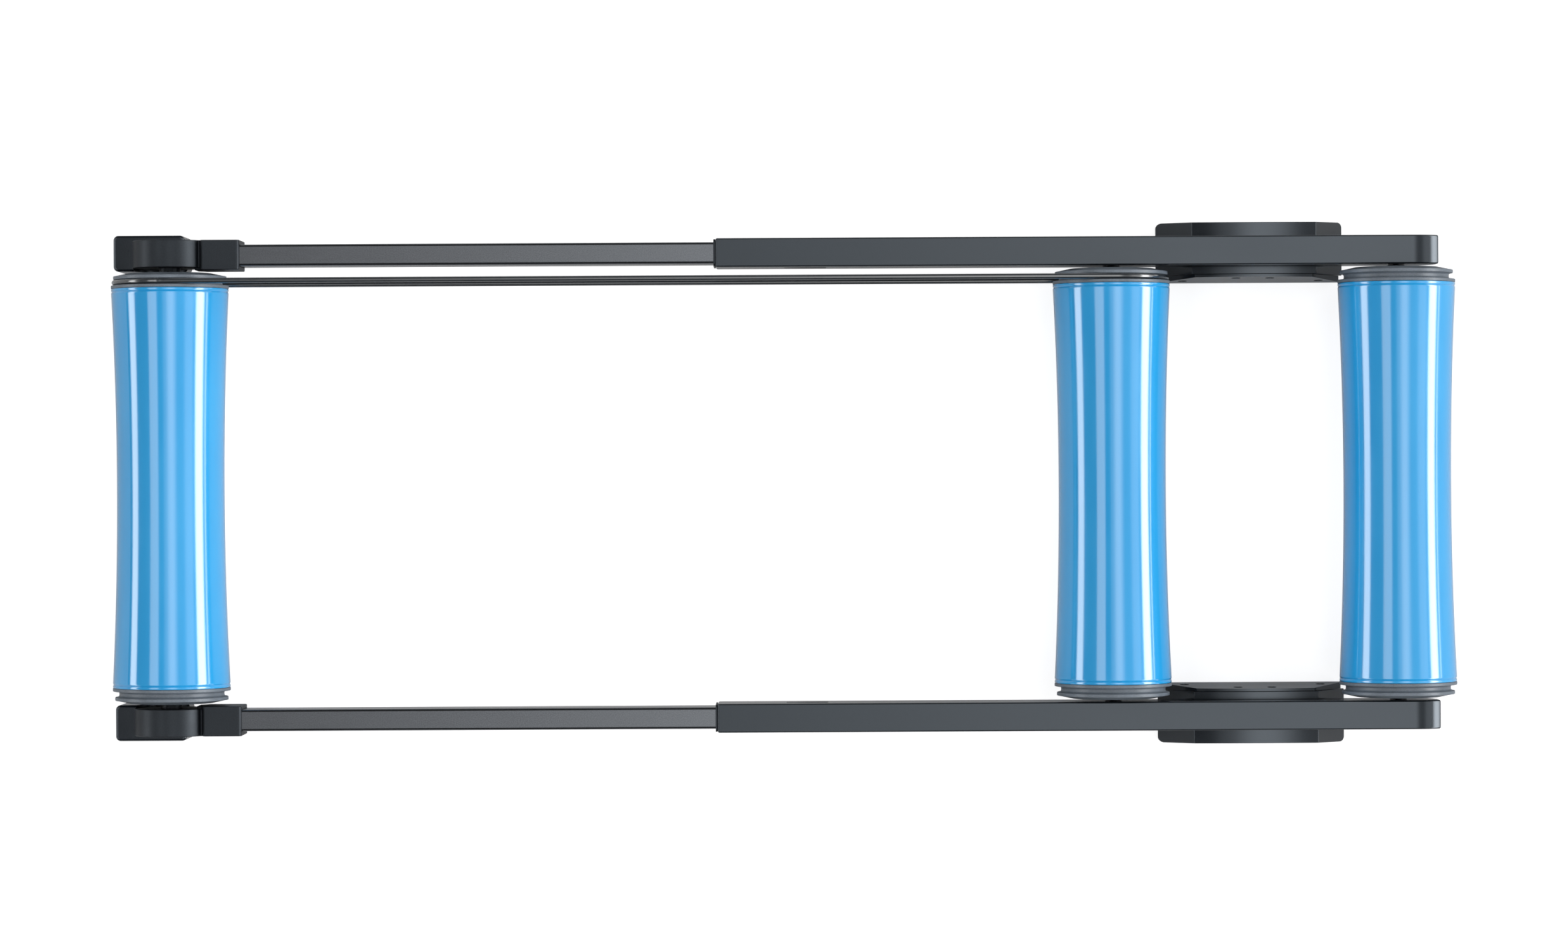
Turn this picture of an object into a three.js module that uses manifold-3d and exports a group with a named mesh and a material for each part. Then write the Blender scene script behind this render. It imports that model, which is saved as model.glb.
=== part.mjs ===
// Bike rollers: three waisted drums on a frame whose front half slides into its rear half.
// Millimetres, +Z up. The origin is on the floor, half-way between the front and the rear axle line.
// The front drum is towards -X. The drive belt runs on the +Y side, a rider's right-hand side.
import * as THREE from "three";
import { mergeVertices } from "three/addons/utils/BufferGeometryUtils.js";
import Module from "manifold-3d";

const wasm = await Module();
wasm.setup();

// Axle lines
const frontToMiddle = 885;
const middleToRear = 268;
const axleHeight = 68;

// Clearances that the whole part shares
const seatGap = 0.3; // between two pieces that sit on each other
const cutOver = 3; // how far a cutting shape runs past what it cuts

// Drum shell: a tube whose outside narrows to a waist
const drumEndRadius = 55;
const drumWaistRadius = 50.2;
const shellLength = 374;
const shellWall = 3;

// Drum end cap, with the belt groove between an inner and an outer ring
const capInnerRing = 2.9;
const capOuterRing = 3.7;
const capOuterRingInset = 2.15; // the outer ring's radius is smaller than the drum's end by this
const grooveWidth = 5.5;
const grooveDepth = 6; // below the drum's end radius
const grooveWallDepth = 4.4; // straight part of the groove's inner wall
const grooveBottomShare = 0.5; // flat bottom, as a share of the groove's width
const spigotLength = 14;
const spigotWall = 3;
const capRimWidth = 7; // flat end face outside the dish
const dishDepth = 4.2;
const webThickness = 5.5;
const hubWall = 4.8;
const hubSlope = 2; // the hub and the rim lean by this over the dish's depth
const hubShoulder = 3;

// Bearing and axle
const axleRadius = 6;
const bearingOuterRadius = 13.85;
const bearingWidth = 8;
const bearingBoreGap = 0.35;
const bearingRingWall = 2.4;
const bearingShieldInset = 0.6;
const axleBoreRadius = 3.4;
const axleBoreDepth = 24;
const frontAxleSeat = 7; // how far the front axle reaches into the bracket
const spacerLength = 4.7; // from the cap's face to the rail's inner face
const spacerRadius = 8;

// Drive belt
const beltRadius = 2.5;

// Inner rail: a rectangular tube
const innerRailWidth = 20.3;
const innerRailHeight = 42;
const innerRailWall = 1.8;
const innerRailCorner = 3;
const innerRailInsert = 205; // length inside the outer rail as it stands

// Outer rail: a hollow moulding, open at its mouth and closed at its rear end
const slideGap = 0.45; // round the inner rail
const outerSideWall = 2.9;
const outerTopWall = 4.55;
const outerRailFrontReach = 373.5; // mouth to middle axle
const outerRailRearReach = 37.5; // rear axle to closed end
const outerRailEdge = 1.6;
const railEndTopCorner = 12;
const railEndBottomCorner = 26;
const railEndWall = 22;
const accessHoleRadius = 6.5; // in the outer wall, to reach the axle screw

// Mouth bush and rail shoe, on which the inner rail slides
const bushWall = 1;
const bushRunGap = 0.25;
const bushLength = 40;
const bushFlange = 1.6;
const bushFlangeInset = 0.8;
const shoeFlange = 4;
const shoeRunGap = 0.2;
const shoeSpigot = 18;

// Lock lever, a rocker in a window of the outer rail's inner wall
const leverLength = 38;
const leverHeight = 14;
const leverFromMouth = 86; // mouth to the lever's pivot
const leverGap = 0.4;
const leverProud = 0.2;
const leverThumbThickness = 1.2;
const leverShoeRunGap = 0.3;
const leverPivotRadius = 0.9;
const leverPivotLength = 2.4;
const leverPivotGap = 0.3;
const leverPivotDepth = 1.5; // from the wall's inner face to the pivot
const leverRampShare = 0.25; // from the pivot to the gripping part, as a share of the lever's length

// Screws in the axles' ends: countersunk at the middle and the rear axle, cap screws at the front axle
const screwShankRadius = 2.9;
const screwShankGap = 0.4;
const screwInBoreShare = 0.85; // how much of the axle's bore a screw fills
const flushScrewHeadRadius = 5.2;
const flushScrewHeadHeight = 2.3;
const flushScrewInset = 0.15; // below the rail wall's inner face
const capScrewHeadRadius = 6.4;
const capScrewHeadHeight = 7.8;
const capScrewRecess = 10;

// Front bracket: a boss round the axle, and a socket for the inner rail
const bossRadius = 35;
const bossInset = 2.4; // its inner face, back from the socket's
const bracketWidth = 28;
const bracketEdge = 2.2;
const socketWall = 3.4;
const socketReach = 71; // axle to the socket's end
const socketDepth = 38;
const socketCorner = 3.5;
const valleyRadius = 7;
const collarRadius = 10;

// Front foot: a block that cradles the boss
const frontFootAhead = 54;
const frontFootBehind = 13;
const frontFootProud = 5.8; // outside the bracket
const frontFootTop = 62;
const frontFootCorner = 7;
const frontFootEdge = 2.5;

// Rear foot: a saddle under the outer rail, with sloped ends and a crowned top that is stepped on
const rearFootLength = 177;
const rearFootShift = 1.5; // behind the half-way line between the middle and the rear axle
const rearFootSlope = 30; // length of each sloped end
const rearFootEndHeight = 8;
const crownHeight = 5;
const rearFootRise = 20; // up the rail's sides
const rearFootOutside = 16; // outside the rail
const rearFootInside = 7.3; // inside the rail
const rearFootEdge = 3;
const rearFootCorner = 8;
const rearFootLean = 1.8; // of the outer side, inwards over its height

// Cheek: a plate on the rear foot's inner side, thicker towards the floor
const cheekInset = 3; // inside the foot's outline
const cheekTopThickness = 2.4;
const cheekBottomThickness = 6.2;

// Screws that hold the cheek: a pair near its top, and a lower pair near its ends
const cheekScrewHeight = 46;
const cheekScrewSpacingShare = 0.181; // of the foot's length
const cheekEndScrewHeight = 22;
const cheekEndScrewFromEnd = 24;
const cheekScrewHeadRadius = 4;
const cheekScrewHeadHeight = 1.8;
const cheekScrewSeat = 0.9; // cheek left under the head
const cheekScrewRadius = 1.9;
const cheekScrewLength = 8.5;

// Rubber soles under the four feet
const soleHeight = 4.7;
const soleBelow = 2; // below the foot's underside
const soleInset = 4;
const soleCorner = 5;

// How finely round shapes are cut
const drumSides = 24;
const smallSides = 12;
const screwSides = 8;
const beltSides = 8;
const waistSteps = 8;
const innerWaistSteps = 4;
const cornerSteps = 2;
const bossSteps = 24;

// Places that follow from the sizes above
const frontX = -(frontToMiddle + middleToRear) / 2;
const middleX = frontX + frontToMiddle;
const rearX = middleX + middleToRear;
const capLength = seatGap + capInnerRing + grooveWidth + capOuterRing;
const capFaceY = shellLength / 2 + capLength;
const grooveY = shellLength / 2 + seatGap + capInnerRing + grooveWidth / 2;
const grooveBottomRadius = drumEndRadius - grooveDepth;
const railInnerY = capFaceY + spacerLength;
const outerRailWidth = innerRailWidth + 2 * (slideGap + outerSideWall);
const outerRailHeight = innerRailHeight + 2 * (slideGap + outerTopWall);
const railY = railInnerY + outerRailWidth / 2;
const mouthX = middleX - outerRailFrontReach;
const railMouthX = mouthX + bushFlange + seatGap;
const railEndX = rearX + outerRailRearReach;
const socketEndX = frontX + socketReach;
const railBottomZ = axleHeight - outerRailHeight / 2;
const footX = (middleX + rearX) / 2 + rearFootShift;
const footTopZ = railBottomZ + rearFootRise;
const footInnerY = railInnerY - rearFootInside;
const footOuterY = railInnerY + outerRailWidth + rearFootOutside;

// Colours read from the photograph
const blueGloss = finish(0x2f9ad8, 0.12, 0);
const greyCap = finish(0x7b838e, 0.5, 0);
const railSatin = finish(0x4f5357, 0.42, 0);
const railMetal = finish(0x64676b, 0.38, 0.6);
const blackSatin = finish(0x2c3036, 0.45, 0);
const stepSatin = finish(0x33373c, 0.4, 0);
const rubber = finish(0x1d1f21, 0.85, 0);
const beltRubber = finish(0x4b5153, 0.45, 0);
const steel = finish(0x9a9da1, 0.3, 1);
const darkScrew = finish(0x26282b, 0.4, 0.8);

function finish(color, roughness, metalness) {
  return new THREE.MeshStandardMaterial({ color, roughness, metalness });
}

function p(x, y) {
  return new THREE.Vector2(x, y);
}

// A closed three.js shape as a solid that can be joined and cut.
function solid(geometry) {
  const bare = geometry.clone();
  bare.deleteAttribute("normal");
  bare.deleteAttribute("uv");
  const merged = mergeVertices(bare);
  return new wasm.Manifold(
    new wasm.Mesh({
      numProp: 3,
      vertProperties: merged.attributes.position.array,
      triVerts: new Uint32Array(merged.index.array),
    }),
  );
}

function mesh(name, body, material) {
  const cut = body.getMesh();
  const geometry = new THREE.BufferGeometry();
  geometry.setAttribute("position", new THREE.BufferAttribute(cut.vertProperties, 3));
  geometry.setIndex(new THREE.BufferAttribute(cut.triVerts, 1));
  geometry.computeVertexNormals();
  const made = new THREE.Mesh(geometry, material);
  made.name = name;
  return made;
}

// Turned about the Y axis from points (radius, y). A profile that leaves the axis is closed into a ring.
function turned(points, sides) {
  const ordered = THREE.ShapeUtils.isClockWise(points) ? [...points].reverse() : [...points];
  const ring = points.every((point) => point.x > 0);
  if (ring) ordered.push(ordered[0].clone());
  return solid(new THREE.LatheGeometry(ordered, sides));
}

// A disc about the Y axis, from y0 to y1.
function disc(radius, y0, y1, sides) {
  return turned([p(0, y0), p(radius, y0), p(radius, y1), p(0, y1)], sides);
}

function roundedRectangle(width, height, corner) {
  const w = width / 2;
  const h = height / 2;
  const shape = new THREE.Shape();
  shape.absarc(w - corner, h - corner, corner, 0, Math.PI / 2);
  shape.absarc(corner - w, h - corner, corner, Math.PI / 2, Math.PI);
  shape.absarc(corner - w, corner - h, corner, Math.PI, Math.PI * 1.5);
  shape.absarc(w - corner, corner - h, corner, Math.PI * 1.5, Math.PI * 2);
  return shape;
}

// A shape drawn as (y, z), drawn out along +X from x0 to x1.
function alongX(shape, x0, x1) {
  const geometry = new THREE.ExtrudeGeometry(shape, {
    depth: x1 - x0,
    bevelEnabled: false,
    curveSegments: cornerSteps,
  });
  const turn = new THREE.Matrix4().makeBasis(
    new THREE.Vector3(0, 1, 0),
    new THREE.Vector3(0, 0, 1),
    new THREE.Vector3(1, 0, 0),
  );
  return solid(geometry.applyMatrix4(turn).translate(x0, 0, 0));
}

// A shape drawn as (x, z), drawn out along Y from y0 to y1, with its long edges eased by edge.
function alongY(shape, y0, y1, edge, steps) {
  const geometry = new THREE.ExtrudeGeometry(shape, {
    depth: y1 - y0 - 2 * edge,
    bevelEnabled: edge > 0,
    bevelThickness: edge,
    bevelSize: edge,
    bevelOffset: -edge,
    bevelSegments: 1,
    curveSegments: steps,
  });
  return solid(geometry.rotateX(Math.PI / 2).translate(0, y1 - edge, 0));
}

// A shape drawn as (x, y), drawn out along Z from z0 to z1, with its top and bottom edges eased by edge.
function alongZ(shape, z0, z1, edge) {
  const geometry = new THREE.ExtrudeGeometry(shape, {
    depth: z1 - z0 - 2 * edge,
    bevelEnabled: edge > 0,
    bevelThickness: edge,
    bevelSize: edge,
    bevelOffset: -edge,
    bevelSegments: 1,
    curveSegments: cornerSteps,
  });
  return solid(geometry.translate(0, 0, z0 + edge));
}

function block(x0, x1, y0, y1, z0, z1) {
  const box = new THREE.BoxGeometry(x1 - x0, y1 - y0, z1 - z0);
  return solid(box.translate((x0 + x1) / 2, (y0 + y1) / 2, (z0 + z1) / 2));
}

// A screw along Y whose head is outermost at y = 0. A flush head tapers to the shank.
function screw(headRadius, headHeight, shankRadius, length, flush) {
  const points = [p(0, 0), p(headRadius, 0)];
  if (!flush) points.push(p(headRadius, -headHeight));
  points.push(p(shankRadius, -headHeight), p(shankRadius, -length), p(0, -length));
  return turned(points, screwSides);
}

// Drum pieces, about the Y axis

function waistRadius(y) {
  const share = y / (shellLength / 2);
  return drumWaistRadius + (drumEndRadius - drumWaistRadius) * share * share;
}

// The shell widens inside to a straight seat at each end, which takes the cap's spigot.
function drumShell() {
  const half = shellLength / 2;
  const seatRadius = drumEndRadius - shellWall;
  const seatInner = half - spigotLength - seatGap;
  const outer = [];
  for (let step = 0; step <= waistSteps; step++) {
    const y = half * ((2 * step) / waistSteps - 1);
    outer.push(p(waistRadius(y), y));
  }
  const inner = [p(seatRadius, half), p(seatRadius, seatInner)];
  for (let step = 1; step < innerWaistSteps; step++) {
    const y = seatInner * (1 - (2 * step) / innerWaistSteps);
    inner.push(p(waistRadius(y) - shellWall, y));
  }
  inner.push(p(seatRadius, -seatInner), p(seatRadius, -half));
  return turned([...outer, ...inner], drumSides);
}

// The cap of the +Y end. Its y counts from the shell's end.
function drumCap() {
  const spigotRadius = drumEndRadius - shellWall - seatGap;
  const ringRadius = drumEndRadius - capOuterRingInset;
  const grooveStart = seatGap + capInnerRing;
  const grooveEnd = grooveStart + grooveWidth;
  const grooveSlope = (grooveWidth * (1 - grooveBottomShare)) / 2;
  const dishFloor = capLength - dishDepth;
  const seatRadius = bearingOuterRadius + seatGap;
  const seatFloor = capLength - bearingWidth;
  const hubRadius = seatRadius + hubWall;
  return turned(
    [
      p(seatRadius - hubShoulder, dishFloor - webThickness),
      p(spigotRadius - spigotWall, dishFloor - webThickness),
      p(spigotRadius - spigotWall, -spigotLength),
      p(spigotRadius, -spigotLength),
      p(spigotRadius, seatGap),
      p(drumEndRadius, seatGap),
      p(drumEndRadius, grooveStart),
      p(drumEndRadius - grooveWallDepth, grooveStart),
      p(grooveBottomRadius, grooveStart + grooveSlope),
      p(grooveBottomRadius, grooveEnd - grooveSlope),
      p(drumEndRadius - grooveWallDepth, grooveEnd),
      p(ringRadius, grooveEnd),
      p(ringRadius, capLength),
      p(ringRadius - capRimWidth, capLength),
      p(ringRadius - capRimWidth - hubSlope, dishFloor),
      p(hubRadius + hubSlope, dishFloor),
      p(hubRadius, capLength),
      p(seatRadius, capLength),
      p(seatRadius, seatFloor),
      p(seatRadius - hubShoulder, seatFloor),
    ],
    drumSides,
  );
}

// The bearing of the +Y end, with its shield facing out. Its y counts from the shell's end.
function bearing() {
  const bore = axleRadius + bearingBoreGap;
  const out = capLength - seatGap;
  const back = capLength - bearingWidth + seatGap;
  return turned(
    [
      p(bore, back),
      p(bearingOuterRadius, back),
      p(bearingOuterRadius, out),
      p(bearingOuterRadius - bearingRingWall, out),
      p(bearingOuterRadius - bearingRingWall, out - bearingShieldInset),
      p(bore, out - bearingShieldInset),
    ],
    smallSides,
  );
}

// A fixed axle, bored at both ends for its screws.
function axle(endY) {
  const reach = endY - seatGap;
  return turned(
    [
      p(0, axleBoreDepth - reach),
      p(axleBoreRadius, axleBoreDepth - reach),
      p(axleBoreRadius, -reach),
      p(axleRadius, -reach),
      p(axleRadius, reach),
      p(axleBoreRadius, reach),
      p(axleBoreRadius, reach - axleBoreDepth),
      p(0, reach - axleBoreDepth),
    ],
    smallSides,
  );
}

// The ring between the bearing and the rail, on the +Y side.
function spacer() {
  const inner = axleRadius + bearingBoreGap;
  const start = capFaceY + seatGap;
  const end = railInnerY - seatGap;
  return turned([p(inner, start), p(spacerRadius, start), p(spacerRadius, end), p(inner, end)], smallSides);
}

// The belt: one closed round loop over the front and the middle drum's caps.
function driveBelt() {
  const run = grooveBottomRadius + seatGap + beltRadius;
  const wrapSteps = drumSides / 2;
  const centres = [];
  for (const [x, start] of [
    [middleX, -Math.PI / 2],
    [frontX, Math.PI / 2],
  ])
    for (let step = 0; step <= wrapSteps; step++) {
      const angle = start + (Math.PI * step) / wrapSteps;
      centres.push({ x, angle });
    }
  const positions = [];
  for (const { x, angle } of centres)
    for (let side = 0; side < beltSides; side++) {
      const turn = (Math.PI * (2 * side + 1)) / beltSides;
      const reach = run + beltRadius * Math.cos(turn);
      positions.push(
        x + reach * Math.cos(angle),
        grooveY + beltRadius * Math.sin(turn),
        axleHeight + reach * Math.sin(angle),
      );
    }
  const index = [];
  centres.forEach((_, ring) => {
    const here = ring * beltSides;
    const next = ((ring + 1) % centres.length) * beltSides;
    for (let side = 0; side < beltSides; side++) {
      const along = (side + 1) % beltSides;
      index.push(here + side, here + along, next + side);
      index.push(here + along, next + along, next + side);
    }
  });
  const geometry = new THREE.BufferGeometry();
  geometry.setAttribute("position", new THREE.BufferAttribute(new Float32Array(positions), 3));
  geometry.setIndex(index);
  return solid(geometry);
}

// Rail pieces of the +Y side

function innerRail() {
  const shape = roundedRectangle(innerRailWidth, innerRailHeight, innerRailCorner);
  const bore = roundedRectangle(
    innerRailWidth - 2 * innerRailWall,
    innerRailHeight - 2 * innerRailWall,
    innerRailCorner - innerRailWall,
  );
  shape.holes.push(bore);
  const start = socketEndX - socketDepth;
  const end = mouthX + innerRailInsert;
  return alongX(shape, start, end).translate([0, railY, axleHeight]);
}

function outerRail() {
  const z0 = railBottomZ;
  const z1 = railBottomZ + outerRailHeight;
  const side = new THREE.Shape();
  side.moveTo(railMouthX, z0);
  side.lineTo(railEndX - railEndBottomCorner, z0);
  side.absarc(
    railEndX - railEndBottomCorner,
    z0 + railEndBottomCorner,
    railEndBottomCorner,
    -Math.PI / 2,
    0,
  );
  side.absarc(railEndX - railEndTopCorner, z1 - railEndTopCorner, railEndTopCorner, 0, Math.PI / 2);
  side.lineTo(railMouthX, z1);
  const y0 = railY - outerRailWidth / 2;
  const y1 = railY + outerRailWidth / 2;
  let rail = alongY(side, y0, y1, outerRailEdge, 2 * cornerSteps);

  const bore = roundedRectangle(
    innerRailWidth + 2 * slideGap,
    innerRailHeight + 2 * slideGap,
    innerRailCorner,
  );
  rail = rail.subtract(
    alongX(bore, railMouthX - cutOver, railEndX - railEndWall).translate([0, railY, axleHeight]),
  );
  const seat = bushRunGap + bushWall + seatGap;
  const counterbore = roundedRectangle(
    innerRailWidth + 2 * seat,
    innerRailHeight + 2 * seat,
    innerRailCorner + bushWall,
  );
  const seatEnd = mouthX + bushFlange + bushLength + seatGap;
  rail = rail.subtract(
    alongX(counterbore, railMouthX - cutOver, seatEnd).translate([0, railY, axleHeight]),
  );

  const headRadius = flushScrewHeadRadius + screwShankGap;
  const holeRadius = screwShankRadius + screwShankGap;
  const seatTop = railInnerY + outerSideWall;
  const screwHole = turned(
    [
      p(0, y0 - cutOver),
      p(holeRadius, y0 - cutOver),
      p(holeRadius, seatTop - flushScrewHeadHeight - seatGap),
      p(headRadius, seatTop),
      p(headRadius, railY),
      p(0, railY),
    ],
    screwSides,
  ).add(disc(accessHoleRadius, railY, y1 + cutOver, smallSides));
  for (const x of [middleX, rearX]) rail = rail.subtract(screwHole.translate([x, 0, axleHeight]));
  return rail.subtract(leverWindow());
}

function mouthBush() {
  const outerWidth = innerRailWidth + 2 * (bushRunGap + bushWall);
  const outerHeight = innerRailHeight + 2 * (bushRunGap + bushWall);
  const sleeve = alongX(
    roundedRectangle(outerWidth, outerHeight, innerRailCorner + bushWall),
    mouthX,
    mouthX + bushFlange + bushLength,
  );
  const flange = alongX(
    roundedRectangle(
      outerRailWidth - 2 * bushFlangeInset,
      outerRailHeight - 2 * bushFlangeInset,
      innerRailCorner,
    ),
    mouthX,
    mouthX + bushFlange,
  );
  const bore = alongX(
    roundedRectangle(
      innerRailWidth + 2 * bushRunGap,
      innerRailHeight + 2 * bushRunGap,
      innerRailCorner,
    ),
    mouthX - cutOver,
    mouthX + bushFlange + bushLength + cutOver,
  );
  return sleeve.add(flange).subtract(bore).translate([0, railY, axleHeight]);
}

// The shoe closes the inner rail's rear end and runs in the outer rail.
function railShoe() {
  const start = mouthX + innerRailInsert + seatGap;
  const play = 2 * (slideGap - shoeRunGap);
  const flange = alongX(
    roundedRectangle(innerRailWidth + play, innerRailHeight + play, innerRailCorner),
    start,
    start + shoeFlange,
  );
  const inset = 2 * (innerRailWall + seatGap);
  const spigot = alongX(
    roundedRectangle(
      innerRailWidth - inset,
      innerRailHeight - inset,
      innerRailCorner - innerRailWall,
    ),
    start - shoeSpigot,
    start + shoeFlange,
  );
  return flange.add(spigot).translate([0, railY, axleHeight]);
}

// The window, and the slots above and below it in which the lever's pivots sit.
function leverWindow() {
  const x = mouthX + leverFromMouth;
  const y0 = railInnerY - cutOver;
  const y1 = railInnerY + outerSideWall + cutOver;
  const halfLength = leverLength / 2 + leverGap;
  const halfHeight = leverHeight / 2 + leverGap;
  const window = block(
    x - halfLength,
    x + halfLength,
    y0,
    y1,
    axleHeight - halfHeight,
    axleHeight + halfHeight,
  );
  const slot = leverPivotRadius + leverPivotGap;
  const slotHalf = leverHeight / 2 + leverPivotLength + leverPivotGap;
  const slots = block(
    x - slot,
    x + slot,
    railInnerY + leverPivotDepth - slot,
    y1,
    axleHeight - slotHalf,
    axleHeight + slotHalf,
  );
  return window.add(slots);
}

// The lever rocks about its vertical pivot: its thin front end is pressed, its thick rear end grips.
function lockLever() {
  const x = mouthX + leverFromMouth;
  const front = x - leverLength / 2;
  const rear = x + leverLength / 2;
  const face = railInnerY - leverProud;
  const grip = railY - innerRailWidth / 2 - leverShoeRunGap;
  const body = railInnerY + leverPivotDepth + leverPivotRadius;
  const outline = new THREE.Shape([
    p(front, face + leverProud),
    p(x, face),
    p(rear, face),
    p(rear, grip),
    p(x + leverLength * leverRampShare, grip),
    p(x, body),
    p(front, railInnerY + leverThumbThickness),
  ]);
  const half = leverHeight / 2;
  const lever = alongZ(outline, axleHeight - half, axleHeight + half, 0);
  const reach = half + leverPivotLength;
  const pivot = new THREE.CylinderGeometry(leverPivotRadius, leverPivotRadius, 2 * reach, beltSides);
  pivot.rotateX(Math.PI / 2).translate(x, railInnerY + leverPivotDepth, axleHeight);
  return lever.add(solid(pivot));
}

// The tip of a screw in the axle's bore, where the axle ends at endY.
function screwTipY(endY) {
  return endY - seatGap - axleBoreDepth * screwInBoreShare;
}

function flushScrew() {
  const top = railInnerY + outerSideWall - flushScrewInset;
  const length = top - screwTipY(railInnerY);
  return screw(
    flushScrewHeadRadius,
    flushScrewHeadHeight,
    screwShankRadius,
    length,
    true,
  ).translate([0, top, axleHeight]);
}

// Front bracket and foot of the +Y side

function frontBracket() {
  const y0 = railInnerY;
  const y1 = railInnerY + bracketWidth;
  const half = innerRailHeight / 2 + seatGap + socketWall;
  const circle = new THREE.Shape();
  circle.absarc(frontX, axleHeight, bossRadius, 0, Math.PI * 2);
  const boss = alongY(circle, y0 + bossInset, y1, bracketEdge, bossSteps / 2);

  // The arm's outline starts inside the boss and reaches it through a round valley above and below.
  const centreZ = half + valleyRadius;
  const centreX = Math.sqrt((bossRadius + valleyRadius) ** 2 - centreZ ** 2);
  const lean = Math.atan2(centreZ, centreX);
  const arm = new THREE.Shape();
  arm.moveTo(0, 0);
  arm.lineTo(bossRadius * Math.cos(-lean), bossRadius * Math.sin(-lean));
  arm.absarc(centreX, -centreZ, valleyRadius, Math.PI - lean, Math.PI / 2, true);
  arm.absarc(socketReach - socketCorner, socketCorner - half, socketCorner, -Math.PI / 2, 0);
  arm.absarc(socketReach - socketCorner, half - socketCorner, socketCorner, 0, Math.PI / 2);
  arm.absarc(centreX, centreZ, valleyRadius, -Math.PI / 2, lean - Math.PI, true);
  const socket = alongY(arm, y0, y1, bracketEdge, cornerSteps).translate([frontX, 0, axleHeight]);
  const clear = disc(bossRadius, y0 - cutOver, y0 + bossInset, bossSteps);
  let bracket = socket.subtract(clear.translate([frontX, 0, axleHeight])).add(boss);

  const collar = disc(collarRadius, capFaceY + seatGap, y1 - bracketEdge, smallSides);
  bracket = bracket.add(collar.translate([frontX, 0, axleHeight]));

  const railHole = roundedRectangle(
    innerRailWidth + 2 * seatGap,
    innerRailHeight + 2 * seatGap,
    innerRailCorner,
  );
  bracket = bracket.subtract(
    alongX(railHole, socketEndX - socketDepth - seatGap, socketEndX + cutOver).translate([
      0,
      railY,
      axleHeight,
    ]),
  );
  const shank = screwShankRadius + screwShankGap;
  const axleSeat = axleRadius + seatGap;
  const bore = disc(axleSeat, 0, railInnerY + frontAxleSeat, smallSides)
    .add(disc(shank, 0, y1, screwSides))
    .add(disc(capScrewHeadRadius + seatGap, y1 - capScrewRecess, y1 + cutOver, smallSides));
  return bracket.subtract(bore.translate([frontX, 0, axleHeight]));
}

function capScrew() {
  const top = railInnerY + bracketWidth - capScrewRecess + seatGap + capScrewHeadHeight;
  const length = top - screwTipY(railInnerY + frontAxleSeat);
  return screw(
    capScrewHeadRadius,
    capScrewHeadHeight,
    screwShankRadius,
    length,
    false,
  ).translate([frontX, top, axleHeight]);
}

function frontFoot() {
  const x0 = frontX - frontFootAhead;
  const x1 = frontX + frontFootBehind;
  const y0 = railInnerY;
  const y1 = railInnerY + bracketWidth + frontFootProud;
  const plan = roundedRectangle(x1 - x0, y1 - y0, frontFootCorner);
  let foot = alongZ(plan, soleBelow, frontFootTop, frontFootEdge).translate([
    (x0 + x1) / 2,
    (y0 + y1) / 2,
    0,
  ]);
  const nest = disc(bossRadius + seatGap, y0 - cutOver, y0 + bracketWidth + seatGap, bossSteps);
  foot = foot.subtract(nest.translate([frontX, 0, axleHeight]));
  return foot.subtract(sole(x0, x1, y0, y1, -seatGap));
}

// A sole under a foot of that plan. A negative gap makes the pocket that takes it.
function sole(x0, x1, y0, y1, gap) {
  const inset = 2 * (soleInset + gap);
  const plan = roundedRectangle(x1 - x0 - inset, y1 - y0 - inset, soleCorner);
  const bottom = gap < 0 ? -cutOver : 0;
  return alongZ(plan, bottom, soleHeight - gap, 0).translate([(x0 + x1) / 2, (y0 + y1) / 2, 0]);
}

function frontSole() {
  const y1 = railInnerY + bracketWidth + frontFootProud;
  return sole(frontX - frontFootAhead, frontX + frontFootBehind, railInnerY, y1, 0);
}

// Rear foot and cheek of the +Y side

// The outline as (x, z), from z0 up, drawn inset from the foot's own ends and top.
function footOutline(z0, inset) {
  const half = rearFootLength / 2 - inset;
  const plateau = rearFootLength / 2 - rearFootSlope - inset;
  const top = footTopZ - inset;
  const crownRadius = (plateau ** 2 + crownHeight ** 2) / (2 * crownHeight);
  const crownAngle = Math.asin(plateau / crownRadius);
  const outline = new THREE.Shape();
  outline.moveTo(footX - half, z0);
  outline.lineTo(footX + half, z0);
  outline.lineTo(footX + half, rearFootEndHeight);
  outline.absarc(
    footX,
    top - crownRadius,
    crownRadius,
    Math.PI / 2 - crownAngle,
    Math.PI / 2 + crownAngle,
  );
  outline.lineTo(footX - half, rearFootEndHeight);
  return outline;
}

function rearFoot() {
  const half = rearFootLength / 2;
  let foot = alongY(footOutline(soleBelow, 0), footInnerY, footOuterY, rearFootEdge, 2 * cornerSteps);
  // The plan rounds the two outer corners only, and the outer side leans inwards above the ends.
  const planInnerY = footInnerY - rearFootCorner;
  const plan = roundedRectangle(rearFootLength, footOuterY - planInnerY, rearFootCorner);
  foot = foot.intersect(
    alongZ(plan, 0, footTopZ + cutOver, 0).translate([footX, (planInnerY + footOuterY) / 2, 0]),
  );
  const lean = new THREE.Shape([
    p(planInnerY, 0),
    p(footOuterY, 0),
    p(footOuterY, rearFootEndHeight),
    p(footOuterY - rearFootLean, footTopZ),
    p(planInnerY, footTopZ),
  ]);
  foot = foot.intersect(alongX(lean, footX - half, footX + half));
  foot = foot.subtract(
    block(
      footX - half - cutOver,
      footX + half + cutOver,
      railInnerY - seatGap,
      railInnerY + outerRailWidth + seatGap,
      railBottomZ - seatGap,
      footTopZ + cutOver,
    ),
  );
  foot = foot.subtract(sole(footX - half, footX + half, footInnerY, footOuterY, -seatGap));
  return foot.subtract(cheekScrewHoles());
}

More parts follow.
